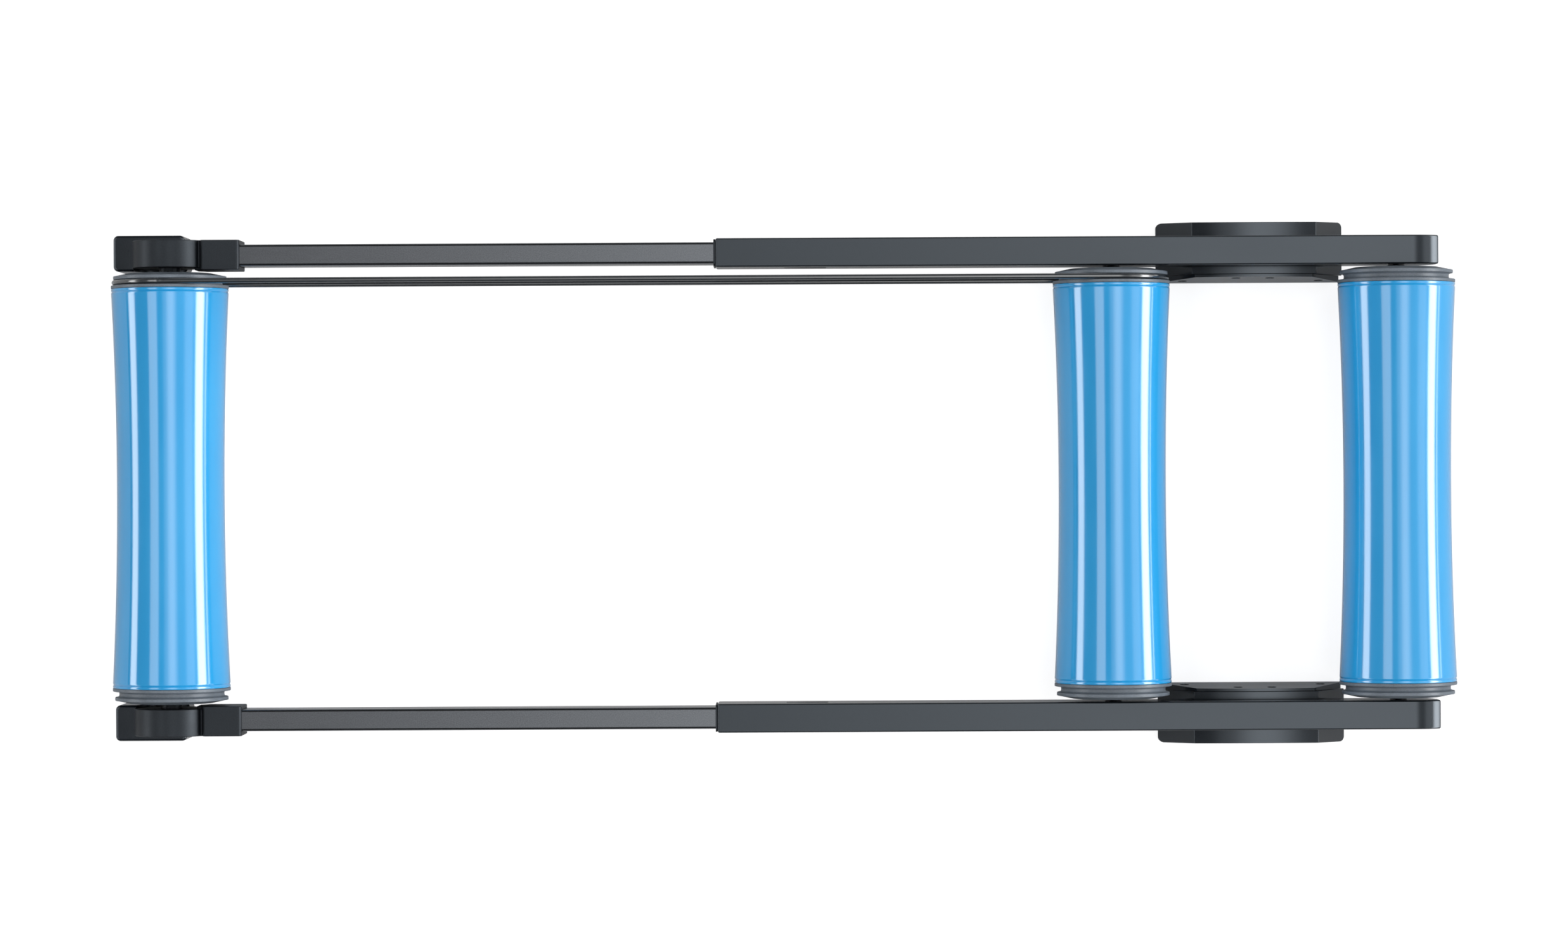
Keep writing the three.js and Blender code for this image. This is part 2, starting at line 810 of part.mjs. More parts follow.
// The cheek's outer face leans: it is cut from a plate by a sloping line in (y, z).
function rearFootCheek() {
  const back = footInnerY - seatGap;
  const bottom = back - cheekBottomThickness;
  const plate = alongY(footOutline(soleBelow, cheekInset), bottom, back, 0, 2 * cornerSteps);
  const lean = new THREE.Shape([
    p(bottom, soleBelow),
    p(back + cutOver, soleBelow),
    p(back + cutOver, footTopZ),
    p(back - cheekTopThickness, footTopZ),
  ]);
  const half = rearFootLength / 2;
  const cheek = plate.intersect(alongX(lean, footX - half, footX + half));
  return cheek.subtract(cheekScrewHoles());
}

function cheekScrewHeadY() {
  return footInnerY - seatGap - cheekScrewSeat - cheekScrewHeadHeight;
}

function cheekScrewPlaces() {
  const upper = (rearFootLength * cheekScrewSpacingShare) / 2;
  const lower = rearFootLength / 2 - cheekEndScrewFromEnd;
  return [
    [footX - lower, cheekEndScrewHeight],
    [footX - upper, cheekScrewHeight],
    [footX + upper, cheekScrewHeight],
    [footX + lower, cheekEndScrewHeight],
  ];
}

function cheekScrewHoles() {
  const headY = cheekScrewHeadY();
  const tipY = headY + cheekScrewLength + seatGap;
  const seatY = headY + cheekScrewHeadHeight + seatGap;
  const open = footInnerY - seatGap - cheekBottomThickness - cutOver;
  const hole = disc(cheekScrewRadius + seatGap, open, tipY, screwSides).add(
    disc(cheekScrewHeadRadius + seatGap, open, seatY, smallSides),
  );
  return wasm.Manifold.union(cheekScrewPlaces().map(([x, z]) => hole.translate([x, 0, z])));
}

// It goes in from the inner side, so it points along +Y.
function cheekScrew([x, z]) {
  const made = screw(
    cheekScrewHeadRadius,
    cheekScrewHeadHeight,
    cheekScrewRadius,
    cheekScrewLength,
    false,
  );
  return made.rotate([180, 0, 0]).translate([x, cheekScrewHeadY(), z]);
}

function rearSole() {
  const half = rearFootLength / 2;
  return sole(footX - half, footX + half, footInnerY, footOuterY, 0);
}

// The assembly

const root = new THREE.Group();

// Each drum is a group at its axle, with two mirrored ends.
function addDrum(name, x) {
  const drum = new THREE.Group();
  drum.position.set(x, 0, axleHeight);
  drum.add(mesh(`${name}_drum_shell`, drumShell(), blueGloss));
  for (const [side, sign] of [
    ["left", -1],
    ["right", 1],
  ]) {
    const end = new THREE.Group();
    end.scale.set(1, sign, 1);
    const cap = mesh(`${name}_drum_cap_${side}`, drumCap(), greyCap);
    const race = mesh(`${name}_drum_bearing_${side}`, bearing(), steel);
    cap.position.y = shellLength / 2;
    race.position.y = shellLength / 2;
    end.add(cap, race);
    drum.add(end);
  }
  root.add(drum);
}

addDrum("front", frontX);
addDrum("middle", middleX);
addDrum("rear", rearX);

for (const [name, x, endY] of [
  ["front", frontX, railInnerY + frontAxleSeat],
  ["middle", middleX, railInnerY],
  ["rear", rearX, railInnerY],
]) {
  const made = mesh(`${name}_axle`, axle(endY), steel);
  made.position.set(x, 0, axleHeight);
  root.add(made);
}

root.add(mesh("drive_belt", driveBelt(), beltRubber));

// The two sides of the frame mirror each other.
for (const [side, sign] of [
  ["left", -1],
  ["right", 1],
]) {
  const half = new THREE.Group();
  half.scale.set(1, sign, 1);
  half.add(
    mesh(`inner_rail_${side}`, innerRail(), railMetal),
    mesh(`rail_shoe_${side}`, railShoe(), blackSatin),
    mesh(`outer_rail_${side}`, outerRail(), railSatin),
    mesh(`mouth_bush_${side}`, mouthBush(), blackSatin),
    mesh(`lock_lever_${side}`, lockLever(), blackSatin),
    mesh(`front_bracket_${side}`, frontBracket(), blackSatin),
    mesh(`front_axle_screw_${side}`, capScrew(), darkScrew),
    mesh(`front_foot_${side}`, frontFoot(), blackSatin),
    mesh(`front_sole_${side}`, frontSole(), rubber),
    mesh(`rear_foot_${side}`, rearFoot(), stepSatin),
    mesh(`rear_foot_cheek_${side}`, rearFootCheek(), stepSatin),
    mesh(`rear_sole_${side}`, rearSole(), rubber),
  );
  for (const [name, x] of [
    ["middle", middleX],
    ["rear", rearX],
  ]) {
    const fastener = mesh(`${name}_axle_screw_${side}`, flushScrew(), darkScrew);
    const ring = mesh(`${name}_axle_spacer_${side}`, spacer(), blackSatin);
    fastener.position.x = x;
    ring.position.set(x, 0, axleHeight);
    half.add(fastener, ring);
  }
  cheekScrewPlaces().forEach((place, k) => {
    half.add(mesh(`rear_foot_screw_${side}_${k + 1}`, cheekScrew(place), darkScrew));
  });
  root.add(half);
}

export default root;
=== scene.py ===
import math
import bmesh
import bpy
from mathutils import Matrix, Vector


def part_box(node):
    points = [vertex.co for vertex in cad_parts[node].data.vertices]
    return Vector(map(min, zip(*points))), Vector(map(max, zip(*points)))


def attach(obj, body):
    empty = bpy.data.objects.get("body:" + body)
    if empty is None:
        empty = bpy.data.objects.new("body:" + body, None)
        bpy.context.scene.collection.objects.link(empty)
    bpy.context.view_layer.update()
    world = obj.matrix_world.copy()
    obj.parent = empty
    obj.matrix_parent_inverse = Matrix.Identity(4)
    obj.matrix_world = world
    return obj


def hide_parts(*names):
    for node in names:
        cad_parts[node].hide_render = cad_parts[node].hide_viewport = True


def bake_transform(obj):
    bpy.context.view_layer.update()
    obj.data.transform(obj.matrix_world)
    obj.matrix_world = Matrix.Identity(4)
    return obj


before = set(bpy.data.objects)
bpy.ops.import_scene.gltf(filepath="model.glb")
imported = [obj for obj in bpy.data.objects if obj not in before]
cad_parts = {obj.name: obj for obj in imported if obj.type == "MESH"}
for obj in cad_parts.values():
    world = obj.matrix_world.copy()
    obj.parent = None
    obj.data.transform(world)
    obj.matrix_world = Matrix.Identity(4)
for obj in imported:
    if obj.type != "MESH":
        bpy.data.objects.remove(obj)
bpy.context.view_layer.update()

# Bike rollers. Metres, +X from the front drum to the rear drums, +Z up, +Y towards the belt.
scene = bpy.context.scene
print("frame loaded")


def boxMiddle(nodeName):
    low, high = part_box(nodeName)
    return (low + high) / 2


drumX = {drum: boxMiddle(drum + "_axle").x for drum in ("front", "middle", "rear")}
axleZ = boxMiddle("front_axle").z
sides = {"right": 1, "left": -1}  # which side of the bicycle, and the sign of its y

# Camera: straight above, as the photograph is taken

shot = {
    "height": 4.368, "sideways": 0.0137, "turn": -0.297, "lens": 105.0, "sensor": 36.0, "farClip": 60.0,
}


def makeCamera():
    data = bpy.data.cameras.new("shotCamera")
    data.lens = shot["lens"]
    data.sensor_width = shot["sensor"]
    data.clip_end = shot["farClip"]
    camera = bpy.data.objects.new("shotCamera", data)
    camera.location = (0.0, shot["sideways"], shot["height"])
    camera.rotation_euler = (0.0, 0.0, math.radians(shot["turn"]))
    scene.collection.objects.link(camera)
    scene.camera = camera


makeCamera()
scene.view_settings.view_transform = "Standard"
print("camera placed")

# Small helpers for node trees


def addNode(tree, kind, inputs=None, **settings):
    # a socket is linked, anything else is set as the value
    made = tree.nodes.new(kind)
    for key, value in settings.items():
        setattr(made, key, value)
    for key, value in (inputs or {}).items():
        if isinstance(value, bpy.types.NodeSocket):
            tree.links.new(value, made.inputs[key])
        else:
            made.inputs[key].default_value = value
    return made


def addMath(tree, operation, *values):
    return addNode(tree, "ShaderNodeMath", dict(enumerate(values)), operation=operation).outputs[0]


def fade(tree, value, fromLow, fromHigh, low, high, how="SMOOTHSTEP"):
    return addNode(tree, "ShaderNodeMapRange", {
        "Value": value, "From Min": fromLow, "From Max": fromHigh, "To Min": low, "To Max": high,
    }, interpolation_type=how).outputs[0]


def clearedTree(owner):
    # the empty node tree of a new material or world
    owner.use_nodes = True
    owner.node_tree.nodes.clear()
    return owner.node_tree


def linear(red, green, blue):
    # from 0..255 as a screen shows it
    steps = [channel / 255 for channel in (red, green, blue)]
    return [s / 12.92 if s <= 0.04045 else ((s + 0.055) / 1.055) ** 2.4 for s in steps]


# Materials

noiseMiddle = (0.35, 0.65)  # most of a noise lies between these
bluish = (0.8, 0.9, 1.0)


def newFinish(name, metallic=0.0, ior=1.5, sheen=(1.0, 1.0, 1.0), coat=0.0, coatIor=1.5,
              coatRoughness=0.1):
    # sheen is the tint of a plastic's reflection
    material = bpy.data.materials.new(name)
    tree = clearedTree(material)
    shader = addNode(tree, "ShaderNodeBsdfPrincipled", {
        "Metallic": metallic, "IOR": ior, "Specular Tint": (*sheen, 1.0), "Coat Weight": coat,
        "Coat IOR": coatIor, "Coat Roughness": coatRoughness,
    })
    addNode(tree, "ShaderNodeOutputMaterial", {"Surface": shader.outputs[0]})
    place = addNode(tree, "ShaderNodeTexCoord").outputs["Object"]
    return {"material": material, "tree": tree, "shader": shader, "place": place}


def noiseAt(finish, scale, detail=2.0, stretch=None):
    tree, place = finish["tree"], finish["place"]
    if stretch:
        place = addNode(tree, "ShaderNodeMapping", {"Vector": place, "Scale": stretch}).outputs[0]
    noise = addNode(tree, "ShaderNodeTexNoise", {"Vector": place, "Scale": scale, "Detail": detail})
    return noise.outputs[0]


def mixedNoise(finish, first, share, second):
    rest = addMath(finish["tree"], "MULTIPLY", second, 1 - share)
    return addMath(finish["tree"], "MULTIPLY_ADD", first, share, rest)


def dressed(finish, colours, roughness, *bumps, onCoat=False):
    # each starts with the noise it follows; a bump's depth is in metres, and bumps lie on one another
    tree = finish["tree"]
    ramp = addNode(tree, "ShaderNodeValToRGB", {"Fac": colours[0]})
    for element, position, colour in zip(ramp.color_ramp.elements, (0.3, 0.7), colours[1:]):
        element.position = position
        element.color = (*linear(*colour), 1.0)
    rough = fade(tree, roughness[0], *noiseMiddle, *roughness[1:], "LINEAR")
    normal = None
    for height, depth in bumps:
        inputs = {"Height": height, "Distance": depth, "Strength": 1.0}
        if normal:
            inputs["Normal"] = normal
        normal = addNode(tree, "ShaderNodeBump", inputs).outputs[0]
    sockets = {"Base Color": ramp.outputs[0], "Roughness": rough, "Normal": normal}
    if onCoat:
        sockets["Coat Normal"] = normal
    for key, value in sockets.items():
        tree.links.new(value, finish["shader"].inputs[key])
    return finish["material"]


def makeDrumBlue():
    # gloss moulded plastic, with the slight ripple of a turned mould
    finish = newFinish("drumBlue", coat=1.0, coatIor=1.62, coatRoughness=0.07)
    ripple = noiseAt(finish, 55.0, 2.0, (1.0, 0.22, 1.0))
    peel = noiseAt(finish, 420.0, 1.0)
    wear = noiseAt(finish, 30.0, 4.0, (1.0, 0.3, 1.0))
    return dressed(finish, (wear, (35, 151, 212), (41, 156, 216)), (wear, 0.12, 0.2),
                   (ripple, 0.00002), (peel, 0.0000035), onCoat=True)


def makeCapGrey():
    # glass-filled plastic: satin with a fine bright speckle
    finish = newFinish("capGrey")
    speckle = noiseAt(finish, 1500.0, 1.0)
    cloud = noiseAt(finish, 90.0, 3.0)
    fleck = mixedNoise(finish, speckle, 0.7, cloud)
    return dressed(finish, (fleck, (80, 88, 96), (110, 119, 129)), (cloud, 0.34, 0.46),
                   (speckle, 0.00004))


def makeRailComposite():
    # satin composite of the wide rails
    finish = newFinish("railComposite", ior=1.6, sheen=bluish)
    grain = noiseAt(finish, 900.0)
    cloud = noiseAt(finish, 14.0, 3.0, (0.4, 1.0, 1.0))
    mixed = mixedNoise(finish, grain, 0.6, cloud)
    return dressed(finish, (mixed, (18, 21, 24), (26, 30, 34)), (cloud, 0.15, 0.19), (grain, 0.000013))


def makeInnerRailMetal():
    # painted metal tube, drawn along its length
    finish = newFinish("innerRailMetal", metallic=1.0)
    drawn = noiseAt(finish, 700.0, 2.0, (0.08, 1.0, 1.0))
    grain = noiseAt(finish, 1100.0, 1.0)
    return dressed(finish, (grain, (98, 101, 105), (110, 113, 117)), (drawn, 0.17, 0.2),
                   (grain, 0.000003))


def makeBlackPlastic():
    finish = newFinish("blackPlastic", ior=1.43, sheen=bluish)
    grain = noiseAt(finish, 800.0)
    cloud = noiseAt(finish, 40.0)
    return dressed(finish, (grain, (14, 16, 20), (21, 24, 28)), (cloud, 0.4, 0.46), (grain, 0.000012))


def makeFootPlastic():
    finish = newFinish("footPlastic", ior=1.66, sheen=bluish)
    grain = noiseAt(finish, 620.0, 3.0)
    cloud = noiseAt(finish, 35.0)
    return dressed(finish, (grain, (11, 14, 18), (18, 21, 26)), (cloud, 0.12, 0.16), (grain, 0.000008))


def makeBeltRubber():
    finish = newFinish("beltRubber", coat=1.0, coatIor=1.9, coatRoughness=0.12)
    drawn = noiseAt(finish, 500.0, 2.0, (0.1, 1.0, 1.0))
    return dressed(finish, (drawn, (24, 29, 34), (30, 36, 41)), (drawn, 0.26, 0.34), (drawn, 0.000003))


def makeSoleRubber():
    finish = newFinish("soleRubber")
    grain = noiseAt(finish, 500.0, 3.0)
    return dressed(finish, (grain, (24, 25, 27), (33, 34, 36)), (grain, 0.7, 0.85), (grain, 0.00006))


def makeTurnedSteel():
    # bright steel with fine rings from turning
    finish = newFinish("turnedSteel", metallic=1.0)
    rings = noiseAt(finish, 900.0, 2.0, (0.15, 1.0, 0.15))
    return dressed(finish, (rings, (148, 151, 155), (172, 175, 179)), (rings, 0.22, 0.34),
                   (rings, 0.00001))


def makeDarkSteel():
    # black oxide of the screws
    finish = newFinish("darkSteel", metallic=1.0)
    grain = noiseAt(finish, 700.0)
    return dressed(finish, (grain, (36, 37, 40), (52, 53, 57)), (grain, 0.35, 0.5), (grain, 0.00002))


finishes = {
    "drum_plastic": makeDrumBlue(),
    "cap_plastic": makeCapGrey(),
    "rail_composite": makeRailComposite(),
    "rail_metal": makeInnerRailMetal(),
    "black_plastic": makeBlackPlastic(),
    "foot_plastic": makeFootPlastic(),
    "belt_elastomer": makeBeltRubber(),
    "rubber": makeSoleRubber(),
    "steel": makeTurnedSteel(),
    "dark_steel": makeDarkSteel(),
}
print("materials made")

# Mesh helpers

beyond = 0.01  # how far a cutter reaches past the faces it cuts


def newPiece(name, mesh):
    piece = bpy.data.objects.new(name, mesh)
    scene.collection.objects.link(piece)
    return piece


def roundedOutline(corners, steps=6):
    # corners are (u, v, radius); each round corner becomes an arc
    points = []
    for index, (u, v, radius) in enumerate(corners):
        here = Vector((u, v))
        if radius == 0:
            points.append(here)
            continue
        back = (Vector(corners[index - 1][:2]) - here).normalized()
        ahead = (Vector(corners[(index + 1) % len(corners)][:2]) - here).normalized()
        half = back.angle(ahead) / 2
        centre = here + (back + ahead).normalized() * (radius / math.sin(half))
        first = here + back * (radius / math.tan(half)) - centre
        last = here + ahead * (radius / math.tan(half)) - centre
        start = math.atan2(first.y, first.x)
        sweep = (math.atan2(last.y, last.x) - start + math.pi) % (2 * math.pi) - math.pi
        for step in range(steps + 1):
            angle = start + sweep * step / steps
            points.append(centre + radius * Vector((math.cos(angle), math.sin(angle))))
    return points


def roundedBox(centreU, centreV, width, height, corner, steps=6):
    u, v = width / 2, height / 2
    corners = [(-u, -v), (u, -v), (u, v), (-u, v)]
    return roundedOutline([(centreU + a, centreV + b, corner) for a, b in corners], steps)


def section(low, high, axes, corner, grow=0.0, steps=6):
    # a box seen along its third axis, with round corners, larger all round by grow
    u, v = ["xyz".index(axis) for axis in axes]
    middle = (low + high) / 2
    width, height = high[u] - low[u] + 2 * grow, high[v] - low[v] + 2 * grow
    return roundedBox(middle[u], middle[v], width, height, corner, steps)


def circle(centreU, centreV, radius, count):
    angles = [2 * math.pi * step / count for step in range(count)]
    return [Vector((centreU + radius * math.cos(a), centreV + radius * math.sin(a))) for a in angles]


def prism(name, outline, axis, low, high):
    # the outline runs in the other two axes: y, z for x; x, z for y; x, y for z
    place = {
        "x": lambda u, v, w: (w, u, v),
        "y": lambda u, v, w: (u, w, v),
        "z": lambda u, v, w: (u, v, w),
    }[axis]
    shape = bmesh.new()
    rings = [[shape.verts.new(place(p[0], p[1], w)) for p in outline] for w in (low, high)]
    for ring in rings:
        shape.faces.new(ring)
    for index in range(len(outline)):
        shape.faces.new([rings[0][index - 1], rings[0][index], rings[1][index], rings[1][index - 1]])
    bmesh.ops.recalc_face_normals(shape, faces=shape.faces)
    mesh = bpy.data.meshes.new(name)
    shape.to_mesh(mesh)
    shape.free()
    return newPiece(name, mesh)


def through(name, outline, axis, low, high):
    return prism(name, outline, axis, low - beyond, high + beyond)


def rod(name, x, z, radius, count, low, high):
    # along Y, with count sides
    return prism(name, circle(x, z, radius, count), "y", low, high)


def settled(piece):
    # the modifiers' result becomes the piece's own mesh
    made = bpy.data.meshes.new_from_object(piece.evaluated_get(bpy.context.evaluated_depsgraph_get()))
    piece.modifiers.clear()
    old = piece.data
    piece.data = made
    bpy.data.meshes.remove(old)
    return piece


def softened(piece, width, segments, angle=30.0):
    bevel = piece.modifiers.new("edges", "BEVEL")
    bevel.width = width
    bevel.segments = segments
    bevel.limit_method = "ANGLE"
    bevel.angle_limit = math.radians(angle)
    return settled(piece)


def combined(piece, others, operation="DIFFERENCE"):
    for other in others:
        boolean = piece.modifiers.new("shape", "BOOLEAN")
        boolean.operation = operation
        boolean.solver = "MANIFOLD"
        boolean.object = other
        settled(piece)
        old = other.data
        bpy.data.objects.remove(other)
        bpy.data.meshes.remove(old)
    return piece


def tidied(piece, smoothAngle=32.0, flatFaces=True):
    # doubles merged, faces outwards, smooth except at real edges
    shape = bmesh.new()
    shape.from_mesh(piece.data)
    bmesh.ops.remove_doubles(shape, verts=shape.verts, dist=0.000002)
    if shape.calc_volume(signed=True) < 0:
        bmesh.ops.reverse_faces(shape, faces=shape.faces)
    shape.to_mesh(piece.data)
    shape.free()
    piece.data.shade_smooth()
    piece.data.set_sharp_from_angle(angle=math.radians(smoothAngle))
    if flatFaces:
        # large faces keep their own direction, so that only the eased edges bend the light
        weighted = piece.modifiers.new("flatFaces", "WEIGHTED_NORMAL")
        weighted.keep_sharp = True
        settled(piece)
    return piece


def twin(piece, name, offset=(0.0, 0.0, 0.0), mirrored=False):
    mesh = piece.data.copy()
    mesh.transform(Matrix.Translation(offset))
    if mirrored:
        mesh.transform(Matrix.Scale(-1.0, 4, (0.0, 1.0, 0.0)))
        mesh.flip_normals()
    return newPiece(name, mesh)


def dropPiece(piece):
    mesh = piece.data
    bpy.data.objects.remove(piece)
    bpy.data.meshes.remove(mesh)


def keep(piece, body, slotName, *nodes):
    piece.data.materials.clear()
    piece.data.materials.append(finishes[slotName])
    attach(piece, body)
    if nodes:
        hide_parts(*nodes)
    return piece


def keepPair(piece, name, node, body, slotName):
    # made for the right side and mirrored to the left; a {} in the body's name is the side
    for side in sides:
        made = tidied(twin(piece, f"{name}_{side}", mirrored=side == "left"))
        keep(made, body.format(side), slotName, f"{node}_{side}")
    dropPiece(piece)


def keepAtDrums(piece, name, node, body, slotName, drums=("front", "middle", "rear")):
    # one at each end of each drum; a {} in the body's name is the drum
    for drum in drums:
        for side in sides:
            made = twin(piece, f"{name}_{drum}_{side}", (drumX[drum], 0.0, axleZ), side == "left")
            keep(made, body.format(drum), slotName, f"{drum}_{node}_{side}")
    dropPiece(piece)


# Geometry Nodes trees


def newTree(name, inputs):
    tree = bpy.data.node_groups.new(name, "GeometryNodeTree")
    face = tree.interface
    face.new_socket(name="Geometry", in_out="INPUT", socket_type="NodeSocketGeometry")
    for label, kind in inputs.items():
        face.new_socket(name=label, in_out="INPUT", socket_type="NodeSocket" + kind)
    face.new_socket(name="Geometry", in_out="OUTPUT", socket_type="NodeSocketGeometry")
    return tree, tree.nodes.new("NodeGroupInput").outputs


def endTree(tree, geometry, material):
    real = addNode(tree, "GeometryNodeRealizeInstances", {0: geometry}).outputs[0]
    painted = addNode(tree, "GeometryNodeSetMaterial", {"Geometry": real, "Material": material})
    addNode(tree, "NodeGroupOutput", {0: painted.outputs[0]})
    return tree


def grown(name, base, tree, values):
    # runs a tree on the base mesh and keeps the plain result
    modifier = base.modifiers.new("tree", "NODES")
    modifier.node_group = tree
    for item in tree.interface.items_tree:
        if item.in_out == "INPUT" and item.name in values:
            modifier[item.identifier] = values[item.name]
    made = bpy.data.meshes.new_from_object(base.evaluated_get(bpy.context.evaluated_depsgraph_get()))
    dropPiece(base)
    return tidied(newPiece(name, made), flatFaces=False)


def turningTree():
    # turns an outline (x = radius, y = along the axis) about Y, after drawing it in to a waist
    tree, given = newTree("turnedPiece", {
        "Segments": "Int", "Waist Depth": "Float", "Half Length": "Float", "Material": "Material",
    })
    ringRadius = 0.001  # of the circle that carries the outline, taken off each point's radius
    position = addNode(tree, "GeometryNodeInputPosition").outputs[0]
    along = addNode(tree, "ShaderNodeSeparateXYZ", {0: position}).outputs["Y"]
    share = addMath(tree, "DIVIDE", along, given["Half Length"])
    fromWaist = addMath(tree, "SUBTRACT", 1.0, addMath(tree, "MULTIPLY", share, share))
    drop = addMath(tree, "MULTIPLY", fromWaist, given["Waist Depth"])
    shift = addMath(tree, "SUBTRACT", -ringRadius, drop)
    drawnIn = addNode(tree, "GeometryNodeSetPosition", {
        "Geometry": given["Geometry"],
        "Offset": addNode(tree, "ShaderNodeCombineXYZ", {"X": shift}).outputs[0],
    }).outputs[0]
    outline = addNode(tree, "GeometryNodeMeshToCurve", {"Mesh": drawnIn}).outputs[0]
    ring = addNode(tree, "GeometryNodeCurvePrimitiveCircle", {
        "Resolution": given["Segments"], "Radius": ringRadius,
    }).outputs[0]
    swept = addNode(tree, "GeometryNodeCurveToMesh", {"Curve": ring, "Profile Curve": outline})
    upright = addNode(tree, "GeometryNodeTransform", {
        "Geometry": swept.outputs[0], "Rotation": (math.pi / 2, 0.0, 0.0),
    }).outputs[0]
    merged = addNode(tree, "GeometryNodeMergeByDistance", {"Geometry": upright, "Distance": 0.000002})
    return endTree(tree, merged.outputs[0], given["Material"])


turnedPieceTree = turningTree()


def turned(name, outline, slotName, closed=True, segments=128, waistDepth=0.0, halfLength=1.0):
    # outline is a list of (radius, y)
    mesh = bpy.data.meshes.new(name + "Outline")
    count = len(outline)
    edges = [(index, (index + 1) % count) for index in range(count if closed else count - 1)]
    mesh.from_pydata([(point[0], point[1], 0.0) for point in outline], edges, [])
    return grown(name, newPiece(name + "Outline", mesh), turnedPieceTree, {
        "Segments": segments, "Waist Depth": waistDepth, "Half Length": halfLength,
        "Material": finishes[slotName],
    })


def instancingTree():
    # one part on each point; a part on the left side is turned round to face its own side
    tree, given = newTree("partOnPoints", {"Part": "Object", "Material": "Material"})
    position = addNode(tree, "GeometryNodeInputPosition").outputs[0]
    across = addNode(tree, "ShaderNodeSeparateXYZ", {0: position}).outputs["Y"]
    onLeft = addMath(tree, "LESS_THAN", across, 0.0)
    turn = addNode(tree, "ShaderNodeCombineXYZ", {"Z": addMath(tree, "MULTIPLY", onLeft, math.pi)})
    part = addNode(tree, "GeometryNodeObjectInfo", {"Object": given["Part"]})
    placed = addNode(tree, "GeometryNodeInstanceOnPoints", {
        "Points": given["Geometry"], "Instance": part.outputs["Geometry"], "Rotation": turn.outputs[0],
    })
    return endTree(tree, placed.outputs[0], given["Material"])


partOnPointsTree = instancingTree()


# Drums

shell = {
    "endRadius": 0.055, "waistRadius": 0.0502, "halfLength": 0.187, "wall": 0.003,
    "seatLength": 0.0143, "stations": 26, "beadWidth": 0.0031, "beadDrop": 0.0005, "beadSteps": 8,
    "grooveWidth": 0.0016, "grooveDepth": 0.0007, "grooveSteps": 6,
}


def makeShells():
    half, radius = shell["halfLength"], shell["endRadius"]
    waistDepth = radius - shell["waistRadius"]
    beadStart = half - shell["beadWidth"]
    bodyEnd = beadStart - shell["grooveWidth"]
    rightEnd = []  # the body's rounded end, the groove and the bead at the rim
    for step in range(shell["grooveSteps"] + 1):
        share = step / shell["grooveSteps"]
        drop = shell["grooveDepth"] * share ** 2
        rightEnd.append((radius - drop, bodyEnd + shell["grooveWidth"] * share))
    for step in range(1, shell["beadSteps"] + 1):
        share = step / shell["beadSteps"]
        drop = shell["grooveDepth"] * (1 - share) ** 3 + shell["beadDrop"] * share ** 4
        rightEnd.append((radius - drop, beadStart + shell["beadWidth"] * share))
    plain = [bodyEnd * (2 * step / shell["stations"] - 1) for step in range(1, shell["stations"])]
    outer = [(r, -y) for r, y in reversed(rightEnd)] + [(radius, y) for y in plain] + rightEnd
    inner = radius - shell["wall"]
    seatEnd = half - shell["seatLength"]
    # the cap's seat stays straight while the rest is drawn in
    seatRadius = inner + waistDepth * (1 - (seatEnd / half) ** 2)
    steps = shell["stations"] // 2
    bore = [seatEnd * (1 - 2 * step / steps) for step in range(1, steps)]
    inside = [(inner, half), (seatRadius, seatEnd)] + [(inner, y) for y in bore]
    inside += [(seatRadius, -seatEnd), (inner, -half)]
    base = turned("shell", outer + inside, "drum_plastic", waistDepth=waistDepth, halfLength=half)
    for drum, x in drumX.items():
        made = twin(base, f"drumShell_{drum}", (x, 0.0, axleZ))
        keep(made, f"{drum}_drum", "drum_plastic", f"{drum}_drum_shell")
    dropPiece(base)


cap = {
    "seam": 0.0003, "innerRing": 0.0029, "groove": 0.0055, "grooveWall": 0.0044, "grooveDepth": 0.006,
    "outerRing": 0.0037, "outerInset": 0.00215, "ringDrop": 0.0005, "ringStep": 0.001,
    "domeHeight": 0.0022, "domeWidth": 0.0135, "rim": 0.0158, "dish": 0.0042, "slope": 0.002,
    "web": 0.0055, "spigot": 0.014, "spigotRadius": 0.0517, "spigotWall": 0.003,
    "bearingSeat": 0.01415, "bearingWidth": 0.008, "hubWall": 0.0048, "shoulder": 0.003,
    "fineEdge": 0.0004, "edge": 0.0006, "dishRound": 0.001, "grooveRound": 0.0012, "domeRound": 0.0015,
}


